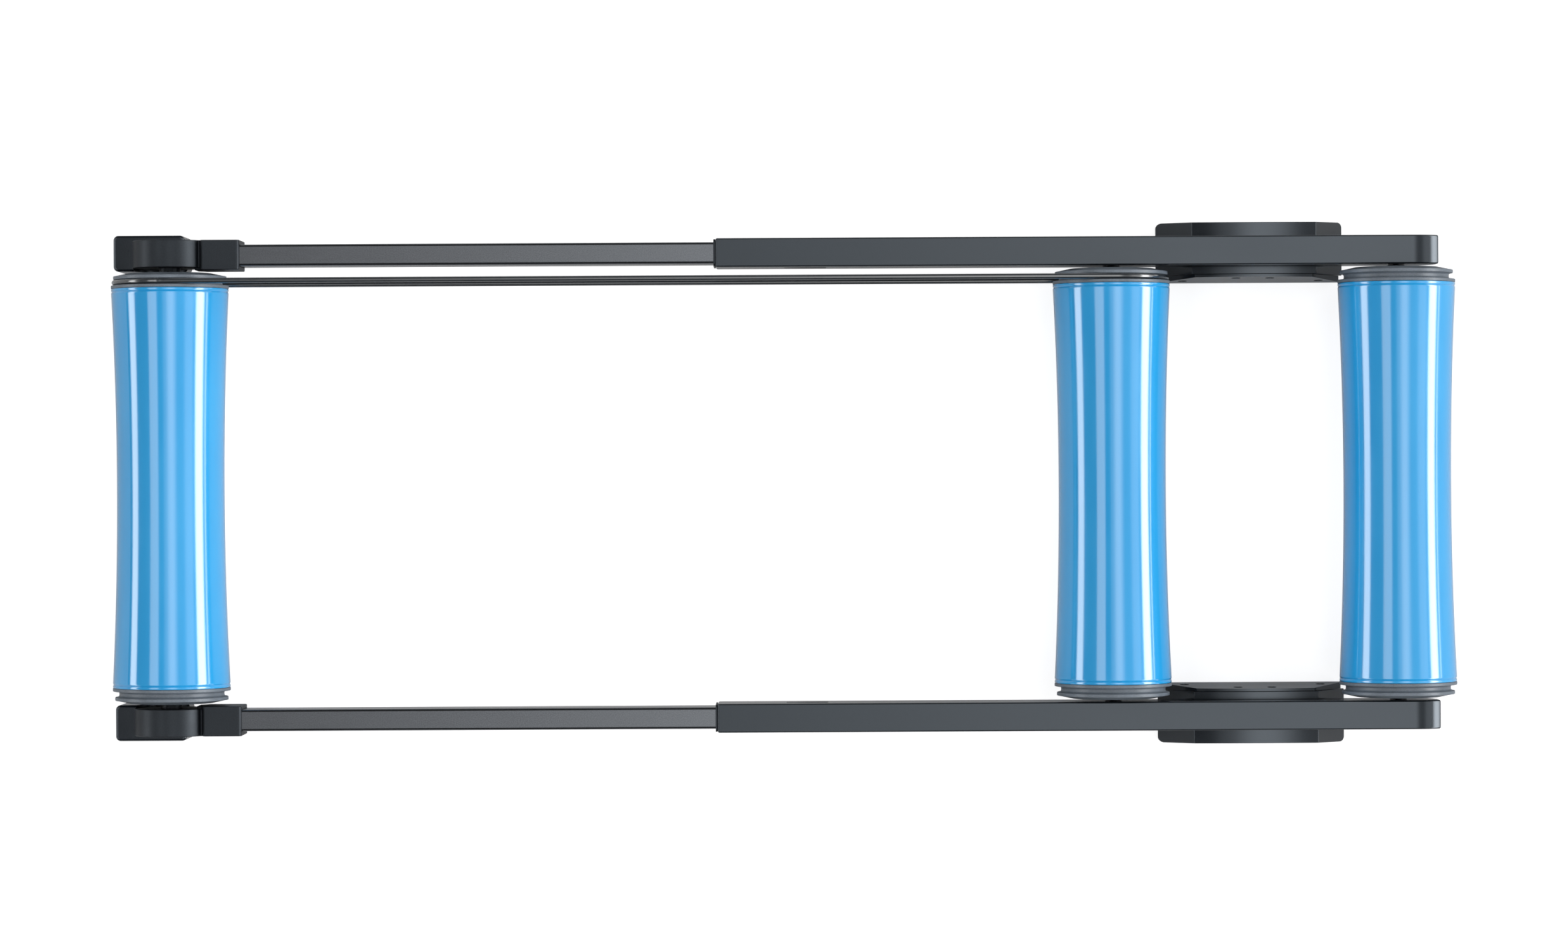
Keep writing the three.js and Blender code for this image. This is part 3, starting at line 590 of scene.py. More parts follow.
def makeCaps():
    end, radius = shell["halfLength"], shell["endRadius"]
    spigotEnd = end - cap["spigot"]
    ringStart = end + cap["seam"]
    grooveStart = ringStart + cap["innerRing"]
    grooveEnd = grooveStart + cap["groove"]
    face = grooveEnd + cap["outerRing"]
    lip = face + cap["domeHeight"]
    floor = face - cap["dish"]
    web = floor - cap["web"]
    seatEnd = face - cap["bearingWidth"]
    bore = cap["bearingSeat"] - cap["shoulder"]
    hub = cap["bearingSeat"] + cap["hubWall"]
    inside = cap["spigotRadius"] - cap["spigotWall"]
    ringRadius = radius - cap["outerInset"]
    rimInner = ringRadius - cap["rim"]
    wall, deep = radius - cap["grooveWall"], radius - cap["grooveDepth"]
    quarter = cap["groove"] / 4
    fine, edge, dish = cap["fineEdge"], cap["edge"], cap["dishRound"]
    # web and spigot
    outline = [(bore, web, 0), (inside, web, cap["domeRound"]), (inside, spigotEnd, 0)]
    outline += [(cap["spigotRadius"], spigotEnd, edge), (cap["spigotRadius"], ringStart, 0)]
    # inner ring, belt groove and outer ring
    outline += [(radius, ringStart, fine), (radius, grooveStart, edge)]
    outline += [(wall, grooveStart, cap["grooveRound"]), (deep, grooveStart + quarter, dish)]
    outline += [(deep, grooveEnd - quarter, dish), (wall, grooveEnd, cap["grooveRound"])]
    outline += [(ringRadius, grooveEnd, edge), (ringRadius, face - cap["ringDrop"], cap["ringDrop"])]
    # dome, dish and bearing seat
    outline += [(ringRadius - cap["ringStep"], face - cap["ringDrop"], 0)]
    outline += [(ringRadius - cap["domeWidth"], lip, cap["domeRound"]), (rimInner, lip, edge)]
    outline += [(rimInner - cap["slope"], floor, dish), (hub + cap["slope"], floor, dish)]
    outline += [(hub, face, edge), (cap["bearingSeat"], face, fine)]
    outline += [(cap["bearingSeat"], seatEnd, 0), (bore, seatEnd, 0)]
    base = turned("cap", roundedOutline(outline, 5), "cap_plastic")
    keepAtDrums(base, "drumCap", "drum_cap", "{}_drum", "cap_plastic")


makeShells()
makeCaps()
print("drums made")

# Bearings, axles and the rings beside the rails

bearing = {
    "bore": 0.00635, "radius": 0.01385, "ringWall": 0.0024, "shieldInset": 0.0006, "edge": 0.0004,
}


def makeBearings():
    low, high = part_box("front_drum_bearing_right")
    inner, outer, wall = bearing["bore"], bearing["radius"], bearing["ringWall"]
    inset = bearing["shieldInset"]
    outline = []
    for y, shieldY in [(low.y, low.y + inset), (high.y, high.y - inset)]:
        row = [(inner, y, bearing["edge"]), (inner + wall, y, 0), (inner + wall, shieldY, 0)]
        row += [(outer - wall, shieldY, 0), (outer - wall, y, 0), (outer, y, bearing["edge"])]
        outline += row if y == low.y else row[::-1]
    base = turned("bearing", roundedOutline(outline, 2), "steel", segments=64)
    keepAtDrums(base, "bearing", "drum_bearing", "{}_drum", "steel")


axle = {"radius": 0.006, "bore": 0.0034, "boreDepth": 0.024, "edge": 0.0005}


def makeAxles():
    for drum in drumX:
        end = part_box(drum + "_axle")[1].y
        deep = end - axle["boreDepth"]
        right = [(axle["radius"], end, axle["edge"]), (axle["bore"], end, 0)]
        right += [(axle["bore"], deep, 0), (0, deep, 0)]
        left = [(r, -y, edge) for r, y, edge in reversed(right)]
        base = turned("axle", roundedOutline(left + right, 2), "steel", closed=False, segments=48)
        made = twin(base, f"axle_{drum}", (drumX[drum], 0.0, axleZ))
        keep(made, "front_frame" if drum == "front" else "rear_frame", "steel", drum + "_axle")
        dropPiece(base)


spacer = {"bore": 0.00635, "radius": 0.008, "edge": 0.0004}


def makeSpacers():
    low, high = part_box("middle_axle_spacer_right")
    outline = [(spacer["bore"], low.y, 0), (spacer["radius"], low.y, spacer["edge"])]
    outline += [(spacer["radius"], high.y, spacer["edge"]), (spacer["bore"], high.y, 0)]
    base = turned("spacer", roundedOutline(outline, 2), "black_plastic", segments=48)
    keepAtDrums(base, "spacer", "axle_spacer", "rear_frame", "black_plastic", ("middle", "rear"))


makeBearings()
makeAxles()
makeSpacers()
print("axles made")

# Drive belt

belt = {
    "runRadius": 0.0518, "radius": 0.0025, "sides": 20, "turnSteps": 40, "weldFromAxle": -0.005,
    "weldLength": 0.003, "weldSwell": 0.14,
}


def beltTree():
    # a round belt round two pulleys, with the small swelling of its weld
    tree, given = newTree("beltLoop", {
        "Axle Distance": "Float", "Run Radius": "Float", "Belt Radius": "Float", "Sides": "Int",
        "Turn Steps": "Int", "Centre": "Vector", "Weld": "Vector", "Weld Length": "Float",
        "Weld Swell": "Float", "Material": "Material",
    })
    height = addMath(tree, "MULTIPLY", given["Run Radius"], 2.0)
    loop = addNode(tree, "GeometryNodeCurvePrimitiveQuadrilateral", {
        "Width": addMath(tree, "ADD", given["Axle Distance"], height), "Height": height,
    }).outputs[0]
    # a little less than half the height, so that the two turns at an end don't share a point
    rounded = addNode(tree, "GeometryNodeFilletCurve", {
        "Curve": loop, "Count": given["Turn Steps"],
        "Radius": addMath(tree, "MULTIPLY", given["Run Radius"], 0.9999),
    }, mode="POLY").outputs[0]
    upright = addNode(tree, "GeometryNodeTransform", {
        "Geometry": rounded, "Translation": given["Centre"], "Rotation": (math.pi / 2, 0.0, 0.0),
    }).outputs[0]
    position = addNode(tree, "GeometryNodeInputPosition").outputs[0]
    away = addNode(tree, "ShaderNodeVectorMath", {0: position, 1: given["Weld"]}, operation="DISTANCE")
    most = addMath(tree, "ADD", given["Weld Swell"], 1.0)
    swell = fade(tree, away.outputs["Value"], 0.0, given["Weld Length"], most, 1.0)
    ring = addNode(tree, "GeometryNodeCurvePrimitiveCircle", {
        "Resolution": given["Sides"], "Radius": given["Belt Radius"],
    }).outputs[0]
    tube = addNode(tree, "GeometryNodeCurveToMesh", {
        "Curve": upright, "Profile Curve": ring, "Scale": swell,
    })
    return endTree(tree, tube.outputs[0], given["Material"])


def makeBelt():
    low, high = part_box("drive_belt")
    centre = (low + high) / 2
    weld = (drumX["front"] + belt["weldFromAxle"], centre.y, axleZ + belt["runRadius"])
    base = newPiece("beltStart", bpy.data.meshes.new("beltStart"))
    made = grown("beltLoop", base, beltTree(), {
        "Axle Distance": drumX["middle"] - drumX["front"], "Run Radius": belt["runRadius"],
        "Belt Radius": belt["radius"], "Sides": belt["sides"], "Turn Steps": belt["turnSteps"],
        "Centre": centre, "Weld": weld, "Weld Length": belt["weldLength"],
        "Weld Swell": belt["weldSwell"], "Material": finishes["belt_elastomer"],
    })
    made.data.materials.clear()
    made.data.materials.append(finishes["belt_elastomer"])
    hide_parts("drive_belt")
    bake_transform(made)


makeBelt()
print("belt made")

# Rails

innerRail = {"corner": 0.003, "wall": 0.0018, "edge": 0.0004}


def innerRailSection(grow=0.0, corner=innerRail["corner"]):
    return section(*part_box("inner_rail_right"), "yz", corner, grow)


def makeInnerRails():
    low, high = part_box("inner_rail_right")
    wall = innerRail["wall"]
    tube = prism("innerRail", innerRailSection(), "x", low.x, high.x)
    bore = innerRailSection(-wall, innerRail["corner"] - wall)
    combined(tube, [through("bore", bore, "x", low.x, high.x)])
    softened(tube, innerRail["edge"], 2, 50.0)
    keepPair(tube, "innerRail", "inner_rail", "front_frame", "rail_metal")


outerRail = {
    "fallLength": 0.026, "fallRadius": 0.042, "fallSteps": 12, "endCorner": 0.002,
    "bottomCorner": 0.026, "cornerSteps": 14, "edge": 0.0016, "cutEdge": 0.0005, "boreGap": 0.00045,
    "sideWall": 0.0029, "endWall": 0.022, "bushSeat": 0.00155, "bushSeatEnd": -0.0231,
    "bushSeatCorner": 0.004, "screwHole": 0.0033, "screwSeat": 0.0056, "screwSeatDepth": 0.0026,
    "accessHole": 0.0065,
}
lever = {
    "halfHeight": 0.007, "gap": 0.0004, "windowCorner": 0.0006, "thumb": 0.0012, "body": 0.0024,
    "proud": 0.0002, "rampShare": 0.25, "bend": 0.02, "rampRound": 0.001, "gripRound": 0.0005,
    "pinRadius": 0.0009, "pinReach": 0.0094, "pinInset": 0.0015, "edge": 0.0004,
}


def outerRailSide(low, high):
    # (x, z): the top falls away in a long arc towards the rear end
    length, radius, steps = outerRail["fallLength"], outerRail["fallRadius"], outerRail["fallSteps"]
    corners = [(low.x, low.z, 0), (high.x, low.z, outerRail["bottomCorner"])]
    for step in range(steps, -1, -1):
        along = length * step / steps
        drop = radius - math.sqrt(radius ** 2 - along ** 2)
        corner = outerRail["endCorner"] if step == steps else 0
        corners.append((high.x - length + along, high.z - drop, corner))
    return roundedOutline(corners + [(low.x, high.z, 0)], outerRail["cornerSteps"])


def makeOuterRails():
    low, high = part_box("outer_rail_right")
    rail = prism("outerRail", outerRailSide(low, high), "y", low.y, high.y)
    softened(rail, outerRail["edge"], 4)
    bore = innerRailSection(outerRail["boreGap"])
    bushSeat = innerRailSection(outerRail["bushSeat"], outerRail["bushSeatCorner"])
    cuts = [
        prism("bore", bore, "x", low.x - beyond, high.x - outerRail["endWall"]),
        prism("bushSeat", bushSeat, "x", low.x - beyond, outerRail["bushSeatEnd"]),
    ]
    y = (low.y + high.y) / 2
    seatStart = low.y + outerRail["sideWall"] - outerRail["screwSeatDepth"]
    for x in (drumX["middle"], drumX["rear"]):
        cuts.append(rod("hole", x, axleZ, outerRail["screwHole"], 32, low.y - beyond, y))
        cuts.append(rod("sunk", x, axleZ, outerRail["screwSeat"], 32, seatStart, y))
        cuts.append(rod("access", x, axleZ, outerRail["accessHole"], 48, y, high.y + beyond))
    leverLow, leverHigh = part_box("lock_lever_right")
    windowLength = leverHigh.x - leverLow.x + 2 * lever["gap"]
    windowHeight = 2 * (lever["halfHeight"] + lever["gap"])
    window = roundedBox((leverLow.x + leverHigh.x) / 2, axleZ, windowLength, windowHeight,
                        lever["windowCorner"], 3)
    cuts.append(prism("window", window, "y", low.y - beyond, y))
    combined(rail, cuts)
    softened(rail, outerRail["cutEdge"], 2, 60.0)
    keepPair(rail, "outerRail", "outer_rail", "rear_frame", "rail_composite")


bush = {
    "flange": 0.0016, "sleeveWall": 0.00125, "boreGap": 0.00025, "corner": 0.003, "sleeveCorner": 0.004,
    "edge": 0.0004,
}


def makeMouthBushes():
    low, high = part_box("mouth_bush_right")
    flange = section(low, high, "yz", bush["corner"])
    sleeve = innerRailSection(bush["sleeveWall"], bush["sleeveCorner"])
    bore = innerRailSection(bush["boreGap"], bush["corner"])
    made = prism("mouthBush", flange, "x", low.x, low.x + bush["flange"])
    combined(made, [prism("sleeve", sleeve, "x", low.x + bush["edge"], high.x)], "UNION")
    combined(made, [through("bore", bore, "x", low.x, high.x)])
    softened(made, bush["edge"], 2, 50.0)
    keepPair(made, "mouthBush", "mouth_bush", "rear_frame", "black_plastic")


def makeLevers():
    # a thin thumb end, a ramp behind the pivot and a thick end that grips the inner rail
    low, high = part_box("lock_lever_right")
    pivotX = (low.x + high.x) / 2
    rampEnd = pivotX + (high.x - low.x) * lever["rampShare"]
    wallFace = low.y + lever["proud"]
    plan = roundedOutline([
        (low.x, wallFace, 0), (pivotX, low.y, lever["bend"]), (high.x, low.y, lever["gripRound"]),
        (high.x, high.y, lever["gripRound"]), (rampEnd, high.y, lever["rampRound"]),
        (pivotX, wallFace + lever["body"], lever["rampRound"]),
        (low.x, wallFace + lever["thumb"], lever["edge"]),
    ], 4)
    made = prism("lockLever", plan, "z", axleZ - lever["halfHeight"], axleZ + lever["halfHeight"])
    softened(made, lever["edge"], 2, 50.0)
    pin = circle(pivotX, wallFace + lever["pinInset"], lever["pinRadius"], 16)
    pin = prism("pin", pin, "z", axleZ - lever["pinReach"], axleZ + lever["pinReach"])
    combined(made, [pin], "UNION")
    keepPair(made, "lockLever", "lock_lever", "{}_lever", "black_plastic")


makeInnerRails()
makeOuterRails()
makeMouthBushes()
makeLevers()
print("rails made")

# Front brackets and feet

bracket = {
    "bossRadius": 0.035, "bossSteps": 80, "armHalfHeight": 0.0247, "armCorner": 0.003,
    "armOverlap": 0.005, "armInset": 0.006, "socketCorner": 0.0035, "socketShort": 0.003,
    "notch": 0.03, "notchWidth": 0.0022, "notchRound": 0.0008, "edge": 0.0022, "cutEdge": 0.0005,
    "collarRadius": 0.01, "collarOverlap": 0.004, "stepInset": 0.0024, "gap": 0.0003,
    "recess": 0.0067, "recessDepth": 0.01, "screwHole": 0.0033, "axleSeat": 0.007,
}


def bracketOutline(aroundBoss):
    # (x, z): round the boss, or only the arm, which starts inside the boss; a notch parts the two
    radius, half, notch = bracket["bossRadius"], bracket["armHalfHeight"], bracket["notch"]
    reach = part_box("front_bracket_right")[1].x - drumX["front"] - bracket["socketShort"]
    lean = math.acos(notch / radius)
    notchZ = radius * math.sin(lean)
    upper = [
        (reach, half, bracket["socketCorner"]),
        (notch + bracket["notchWidth"], half, bracket["armCorner"]),
        (notch, notchZ, bracket["notchRound"]),
    ]
    if not aroundBoss:
        upper.append((notch - bracket["armOverlap"], notchZ - bracket["armOverlap"], 0))
    corners = [(x, -z, r) for x, z, r in reversed(upper)] + upper
    if aroundBoss:
        for step in range(1, bracket["bossSteps"]):
            angle = lean + (2 * math.pi - 2 * lean) * step / bracket["bossSteps"]
            corners.append((radius * math.cos(angle), radius * math.sin(angle), 0))
    return [point + Vector((drumX["front"], axleZ)) for point in roundedOutline(corners)]


def makeBrackets():
    low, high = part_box("front_bracket_right")
    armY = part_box("front_foot_right")[0].y
    bossY = armY + bracket["stepInset"]
    edge, gap = bracket["edge"], bracket["gap"]
    made = softened(prism("bracket", bracketOutline(True), "y", bossY, high.y), edge, 5)
    arm = prism("arm", bracketOutline(False), "y", armY, high.y - bracket["armInset"])
    collarEnd = bossY + bracket["collarOverlap"]
    collar = rod("collar", drumX["front"], axleZ, bracket["collarRadius"], 48, low.y, collarEnd)
    combined(made, [softened(arm, edge, 5), collar], "UNION")
    x, railEnd = drumX["front"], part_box("inner_rail_right")[0].x
    recessStart, seatEnd = high.y - bracket["recessDepth"], armY + bracket["axleSeat"]
    combined(made, [
        prism("railHole", innerRailSection(gap), "x", railEnd - gap, high.x + beyond),
        rod("recess", x, axleZ, bracket["recess"], 48, recessStart, high.y + beyond),
        rod("screwHole", x, axleZ, bracket["screwHole"], 32, low.y, high.y),
        rod("axleHole", x, axleZ, axle["radius"] + gap, 48, low.y - beyond, seatEnd),
    ])
    softened(made, bracket["cutEdge"], 2, 55.0)
    keepPair(made, "frontBracket", "front_bracket", "front_frame", "black_plastic")


frontFoot = {"corner": 0.0045, "edge": 0.0025, "cutEdge": 0.0005, "gap": 0.0003}
solePocket = {"inset": 0.0037, "top": 0.005, "corner": 0.005}


def makePocket(low, high):
    # room for the sole under a foot with this box
    outline = section(low, high, "xy", solePocket["corner"], -solePocket["inset"])
    return prism("pocket", outline, "z", -beyond, solePocket["top"])


def makeFrontFeet():
    low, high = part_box("front_foot_right")
    plan = section(low, high, "xy", frontFoot["corner"], steps=8)
    made = softened(prism("frontFoot", plan, "z", low.z, high.z), frontFoot["edge"], 5)
    nestRadius = bracket["bossRadius"] + frontFoot["gap"]
    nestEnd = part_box("front_bracket_right")[1].y + frontFoot["gap"]
    nest = rod("nest", drumX["front"], axleZ, nestRadius, 128, low.y - beyond, nestEnd)
    combined(made, [nest, makePocket(low, high)])
    softened(made, frontFoot["cutEdge"], 2, 55.0)
    keepPair(made, "frontFoot", "front_foot", "front_frame", "foot_plastic")


makeBrackets()
makeFrontFeet()
print("front brackets and feet made")

# Rear feet

rearFoot = {
    "slope": 0.03, "endTop": 0.008, "crown": 0.005, "crownSteps": 16, "edge": 0.003, "cutEdge": 0.0007,
    "planCorner": 0.005, "planSlack": 0.00002, "lean": 0.0018, "gap": 0.0003,
}
cheek = {
    "inset": 0.003, "topThickness": 0.0024, "edge": 0.0007, "screwRecess": 0.0043,
    "screwRecessDepth": 0.0021, "screwHole": 0.0022,
}


def footOutline(low, high, inset):
    # (x, z): a sloping end, a crowned top and another sloping end
    top = high.z - inset
    middleX = (low.x + high.x) / 2
    half = (high.x - low.x) / 2 - inset
    plateau = half - rearFoot["slope"]
    crown, endTop, steps = rearFoot["crown"], rearFoot["endTop"], rearFoot["crownSteps"]
    radius = (plateau ** 2 + crown ** 2) / (2 * crown)
    corners = [(-half, low.z), (half, low.z), (half, endTop), (plateau, top - crown)]
    for step in range(1, steps):
        x = plateau * (1 - 2 * step / steps)
        corners.append((x, top - radius + math.sqrt(radius ** 2 - x ** 2)))
    corners += [(-plateau, top - crown), (-half, endTop)]
    return [(middleX + x, z) for x, z in corners]


def cheekScrewPlaces():
    # (x, z) of the four screws, from their own nodes
    middles = [boxMiddle(f"rear_foot_screw_right_{k}") for k in (1, 2, 3, 4)]
    return [(middle.x, middle.z) for middle in middles]


def makeRearFeet():
    low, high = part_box("rear_foot_right")
    railLow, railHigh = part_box("outer_rail_right")
    made = prism("rearFoot", footOutline(low, high, 0.0), "y", low.y, high.y + beyond)
    # the plan reaches further on the drums' side, where the corners stay square
    planLow = low.y - 2 * rearFoot["planCorner"]
    length = high.x - low.x + rearFoot["planSlack"]
    plan = roundedBox((low.x + high.x) / 2, (planLow + high.y) / 2, length, high.y - planLow,
                      rearFoot["planCorner"], 8)
    combined(made, [prism("plan", plan, "z", -beyond, high.z + beyond)], "INTERSECT")
    for vertex in made.data.vertices:
        rise = (vertex.co.z - rearFoot["endTop"]) / (high.z - rearFoot["endTop"])
        if vertex.co.y > railHigh.y:
            vertex.co.y -= rearFoot["lean"] * max(rise, 0.0)
    softened(made, rearFoot["edge"], 5, 38.0)
    gap = rearFoot["gap"]
    left, right, bottom, top = railLow.y - gap, railHigh.y + gap, railLow.z - gap, high.z + beyond
    channel = [(left, bottom), (right, bottom), (right, top), (left, top)]
    cuts = [through("channel", channel, "x", low.x, high.x), makePocket(low, high)]
    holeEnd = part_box("rear_foot_screw_right_1")[1].y + gap
    for x, z in cheekScrewPlaces():
        cuts.append(rod("hole", x, z, cheek["screwHole"], 24, low.y - beyond, holeEnd))
    combined(made, cuts)
    softened(made, rearFoot["cutEdge"], 2, 40.0)
    keepPair(made, "rearFoot", "rear_foot", "rear_frame", "foot_plastic")


def makeCheeks():
    low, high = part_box("rear_foot_cheek_right")
    made = prism("cheek", footOutline(*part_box("rear_foot_right"), cheek["inset"]), "y", low.y, high.y)
    below, above, back = low.z - beyond, high.z + beyond, high.y + beyond
    leaning = [(low.y, below), (back, below), (back, above), (high.y - cheek["topThickness"], high.z),
               (low.y, low.z)]
    combined(made, [through("leaning", leaning, "x", low.x, high.x)], "INTERSECT")
    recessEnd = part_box("rear_foot_screw_right_1")[0].y + cheek["screwRecessDepth"]
    for x, z in cheekScrewPlaces():
        combined(made, [
            rod("sunk", x, z, cheek["screwRecess"], 32, low.y - beyond, recessEnd),
            rod("hole", x, z, cheek["screwHole"], 24, low.y - beyond, high.y + beyond),
        ])
    softened(made, cheek["edge"], 2, 40.0)
    keepPair(made, "rearFootCheek", "rear_foot_cheek", "rear_frame", "foot_plastic")


sole = {
    "corner": 0.005, "edge": 0.0006, "grooves": 9, "grooveWidth": 0.0016, "grooveDepth": 0.0008,
    "grooveStart": -0.002,
}


def makeSoles():
    half, start = sole["grooveWidth"] / 2, sole["grooveStart"]
    for end in ("front", "rear"):
        low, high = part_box(f"{end}_sole_right")
        plan = section(low, high, "xy", sole["corner"])
        made = softened(prism("sole", plan, "z", low.z, high.z), sole["edge"], 2)
        pitch = (high.x - low.x) / (sole["grooves"] + 1)
        for step in range(1, sole["grooves"] + 1):
            x = low.x + step * pitch
            cut = [(x - half, start), (x + half, start), (x, sole["grooveDepth"])]
            combined(made, [through("groove", cut, "y", low.y, high.y)])
        keepPair(made, f"{end}Sole", f"{end}_sole", f"{end}_frame", "rubber")


makeRearFeet()
makeCheeks()
makeSoles()
print("rear feet made")

# Screws: modelled once on the right side and set on points by the tree

screw = {
    "cheekHead": 0.004, "cheekHeadHeight": 0.0018, "cheekHeadRound": 0.0012, "cheekShank": 0.0019,
    "cheekPoint": 0.002, "crossReach": 0.0022, "crossDepth": 0.0011,
    "flushHead": 0.0052, "flushHeadHeight": 0.0023, "flushEdge": 0.0003, "flushHex": 0.004,
    "flushHexDepth": 0.0016, "capHead": 0.0064, "capHeadHeight": 0.0078, "capEdge": 0.0007,
    "capHex": 0.006, "capHexDepth": 0.004, "shank": 0.0029, "point": 0.001, "tip": 0.0021,
    "underEdge": 0.0002,
}


def crossCutters():
    # the cross recess of a pan head that faces -Y
    long, wide = screw["crossReach"], screw["crossReach"] / 4
    arms = [[(-u, -v), (u, -v), (u, v), (-u, v)] for u, v in [(long, wide), (wide, long)]]
    return [prism("arm", arm, "y", -beyond, screw["crossDepth"]) for arm in arms]


def axleScrew(head, length, segments, hexAcross, hexDepth):
    # about the Y axis, facing +Y; head is the outline of the head, from its face down to the shank
    tail = [(screw["shank"], screw["point"] - length, 0), (screw["tip"], -length, 0), (0, -length, 0)]
    outline = roundedOutline([(0, 0, 0)] + head + tail, 3)
    part = turned("axleScrew", outline, "dark_steel", closed=False, segments=segments)
    return combined(part, [rod("hexagon", 0.0, 0.0, hexAcross / math.sqrt(3), 6, -hexDepth, beyond)])


def keepScrews(name, part, points, body, nodes):
    mesh = bpy.data.meshes.new(name + "Points")
    mesh.from_pydata(points, [], [])
    base = newPiece(name + "Points", mesh)
    made = grown(name, base, partOnPointsTree, {"Part": part, "Material": finishes["dark_steel"]})
    dropPiece(part)
    keep(made, body, "dark_steel", *nodes)


def makeCheekScrews():
    # pan heads that face the drums
    low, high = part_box("rear_foot_screw_right_1")
    length = high.y - low.y
    head, height, shank = screw["cheekHead"], screw["cheekHeadHeight"], screw["cheekShank"]
    outline = roundedOutline([
        (0, 0, 0), (head, 0, screw["cheekHeadRound"]), (head, height, screw["underEdge"]),
        (shank, height, 0), (shank, length - screw["cheekPoint"], 0), (0, length, 0),
    ], 4)
    part = turned("cheekScrew", outline, "dark_steel", closed=False, segments=32)
    combined(part, crossCutters())
    points = [(x, low.y * sign, z) for sign in sides.values() for x, z in cheekScrewPlaces()]
    nodes = [f"rear_foot_screw_{side}_{k}" for side in sides for k in (1, 2, 3, 4)]
    keepScrews("cheekScrews", part, points, "rear_frame", nodes)


def makeFlushScrews():
    # flush in the inner wall of each outer rail, because the inner rail slides past them
    low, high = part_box("middle_axle_screw_right")
    head = [(screw["flushHead"], 0, screw["flushEdge"]), (screw["shank"], -screw["flushHeadHeight"], 0)]
    part = axleScrew(head, high.y - low.y, 32, screw["flushHex"], screw["flushHexDepth"])
    drums = ("middle", "rear")
    points = [(drumX[drum], high.y * sign, axleZ) for drum in drums for sign in sides.values()]
    nodes = [f"{drum}_axle_screw_{side}" for drum in drums for side in sides]
    keepScrews("flushScrews", part, points, "rear_frame", nodes)


def makeCapScrews():
    # hexagon socket screws sunk in the brackets' outer faces
    low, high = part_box("front_axle_screw_right")
    height = screw["capHeadHeight"]
    head = [(screw["capHead"], 0, screw["capEdge"]), (screw["capHead"], -height, screw["underEdge"]),
            (screw["shank"], -height, 0)]
    part = axleScrew(head, high.y - low.y, 48, screw["capHex"], screw["capHexDepth"])
    points = [(drumX["front"], high.y * sign, axleZ) for sign in sides.values()]
    nodes = [f"front_axle_screw_{side}" for side in sides]
    keepScrews("capScrews", part, points, "front_frame", nodes)


makeCheekScrews()
makeFlushScrews()
makeCapScrews()
for side in sides:
    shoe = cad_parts[f"rail_shoe_{side}"]  # inside the outer rail, left as the frame has it
    shoe.data.materials.clear()
    shoe.data.materials.append(finishes["black_plastic"])
print("screws made")

# Floor and light

studioFloor = {"size": 14.0, "drop": 0.0004, "colour": 0.46, "lift": 0.8, "reflectedShare": 0.1}


def makeFloor():
    # white floor that keeps the shadow; seen directly or by reflection it is a little brighter
    half = studioFloor["size"] / 2
    mesh = bpy.data.meshes.new("studioFloor")
    corners = [(-half, -half), (half, -half), (half, half), (-half, half)]
    mesh.from_pydata([(x, y, -studioFloor["drop"]) for x, y in corners], [], [(0, 1, 2, 3)])
    piece = newPiece("studioFloor", mesh)
    material = bpy.data.materials.new("studioFloor")
    tree = clearedTree(material)
    paint = addNode(tree, "ShaderNodeBsdfDiffuse", {"Color": (studioFloor["colour"],) * 3 + (1.0,)})
    rays = addNode(tree, "ShaderNodeLightPath").outputs
    reflected = addMath(tree, "MULTIPLY", rays["Is Glossy Ray"], studioFloor["reflectedShare"])
    seen = addMath(tree, "MAXIMUM", rays["Is Camera Ray"], rays["Is Transmission Ray"])
    seen = addMath(tree, "MAXIMUM", seen, reflected)
    lift = addMath(tree, "MULTIPLY", seen, studioFloor["lift"])
    glow = addNode(tree, "ShaderNodeEmission", {"Strength": lift})
    both = addNode(tree, "ShaderNodeAddShader", {0: paint.outputs[0], 1: glow.outputs[0]})
    addNode(tree, "ShaderNodeOutputMaterial", {"Surface": both.outputs[0]})
    mesh.materials.append(material)


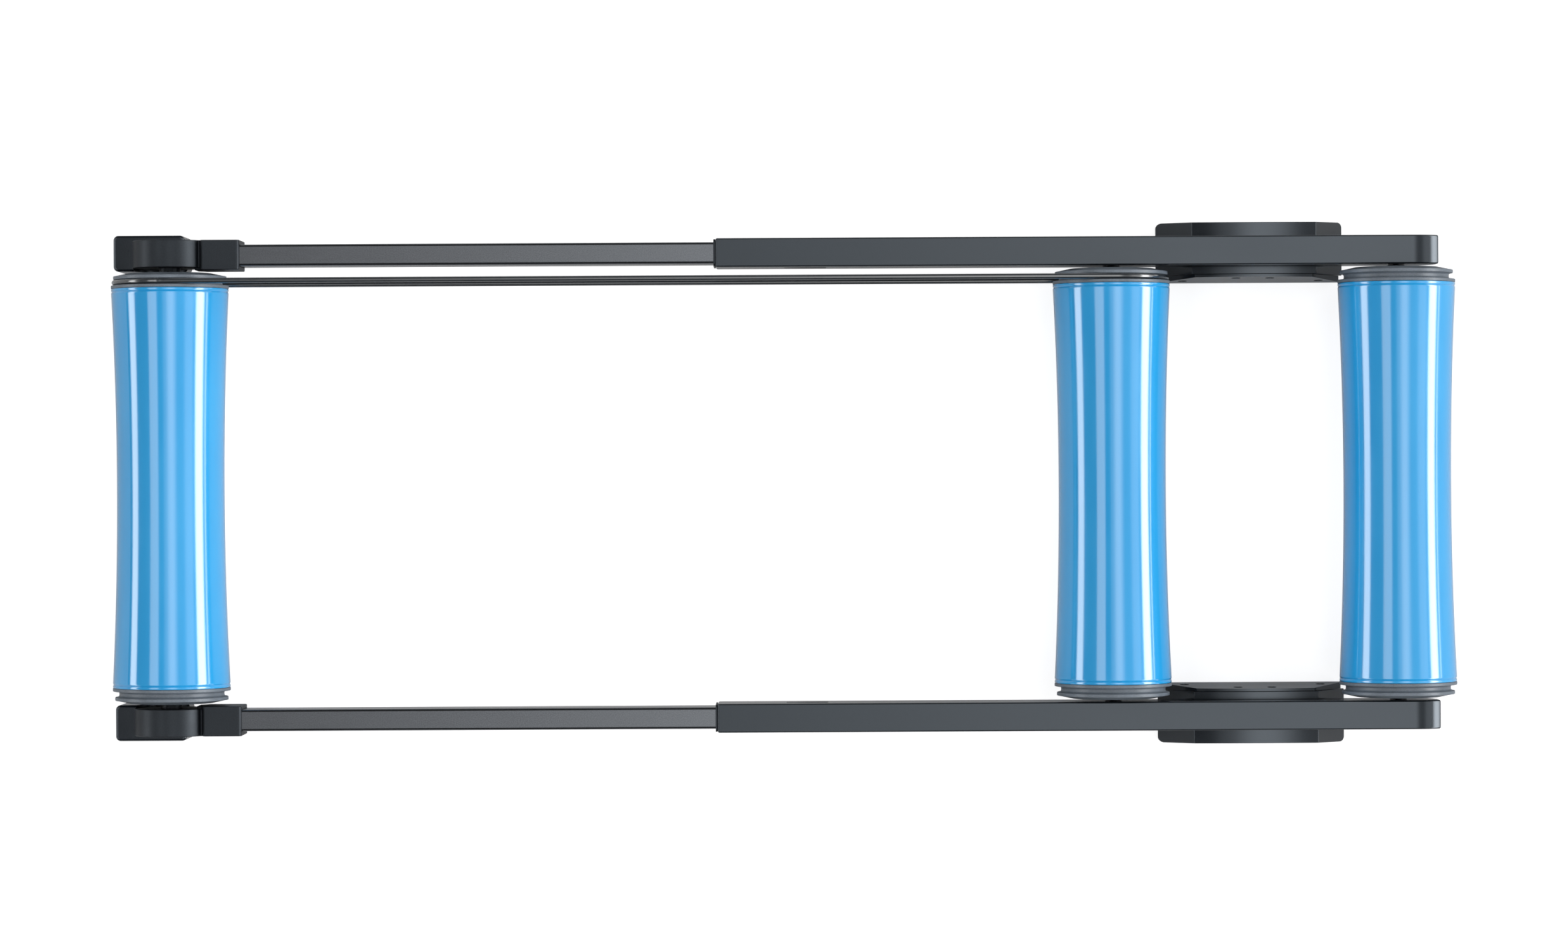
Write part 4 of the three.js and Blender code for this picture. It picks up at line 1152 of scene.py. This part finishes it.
# long soft lights parallel to the drums: from and to in degrees from straight up towards +X,
# level and soft edge
strips = [
    (-82, -67, 4.6, 2.0), (-37, -19, 2.0, 2.0), (-7, -3, 0.25, 1.0), (-8, 55, 0.35, 3.0),
    (0.5, 17, 1.9, 6.5), (37, 56, 0.9, 5.0), (61, 79, 9.0, 3.5), (84, 88, 3.5, 1.5),
]
studio = {
    "fullTo": 0.4, "noneFrom": 0.7, "ambient": 0.17, "ambientAtSides": 0.04, "ambientFullFrom": 0.6,
    "horizonShare": 0.3, "backdropTop": 0.02,
}


def makeStudioLight():
    world = bpy.data.worlds.new("studio")
    scene.world = world
    tree = clearedTree(world)
    direction = addNode(tree, "ShaderNodeTexCoord").outputs["Generated"]
    axes = addNode(tree, "ShaderNodeSeparateXYZ", {0: direction}).outputs
    lean = addMath(tree, "DEGREES", addMath(tree, "ARCTAN2", axes["X"], axes["Z"]))
    total = 0.0
    for start, end, level, soft in strips:
        rise = fade(tree, lean, start - soft, start + soft, 0.0, level)
        fall = fade(tree, lean, end - soft, end + soft, 1.0, 0.0)
        total = addMath(tree, "ADD", addMath(tree, "MULTIPLY", rise, fall), total)
    # the lights end before the room's walls do; the walls get darker to the sides and to the floor
    across = addMath(tree, "ABSOLUTE", axes["Y"])
    length = fade(tree, across, studio["fullTo"], studio["noneFrom"], 1.0, 0.0)
    ambient = fade(tree, across, studio["fullTo"], 1.0, studio["ambient"], studio["ambientAtSides"])
    upper = fade(tree, axes["Z"], 0.0, studio["ambientFullFrom"], studio["horizonShare"], 1.0)
    room = addMath(tree, "MULTIPLY_ADD", total, length, addMath(tree, "MULTIPLY", ambient, upper))
    # the white backdrop stands low behind the object, where reflections see it too
    low = fade(tree, axes["Z"], 0.0, studio["backdropTop"], 1.0, 0.0)
    rays = addNode(tree, "ShaderNodeLightPath").outputs
    seen = addMath(tree, "MAXIMUM", rays["Is Camera Ray"], rays["Is Transmission Ray"])
    seen = addMath(tree, "MAXIMUM", seen, addMath(tree, "MULTIPLY", rays["Is Glossy Ray"], low))
    strength = addNode(tree, "ShaderNodeMix", {"Factor": seen, 2: room, 3: 1.0}).outputs[0]
    light = addNode(tree, "ShaderNodeBackground", {"Color": (1.0,) * 4, "Strength": strength})
    addNode(tree, "ShaderNodeOutputWorld", {"Surface": light.outputs[0]})


makeFloor()
makeStudioLight()
print("floor and light made")
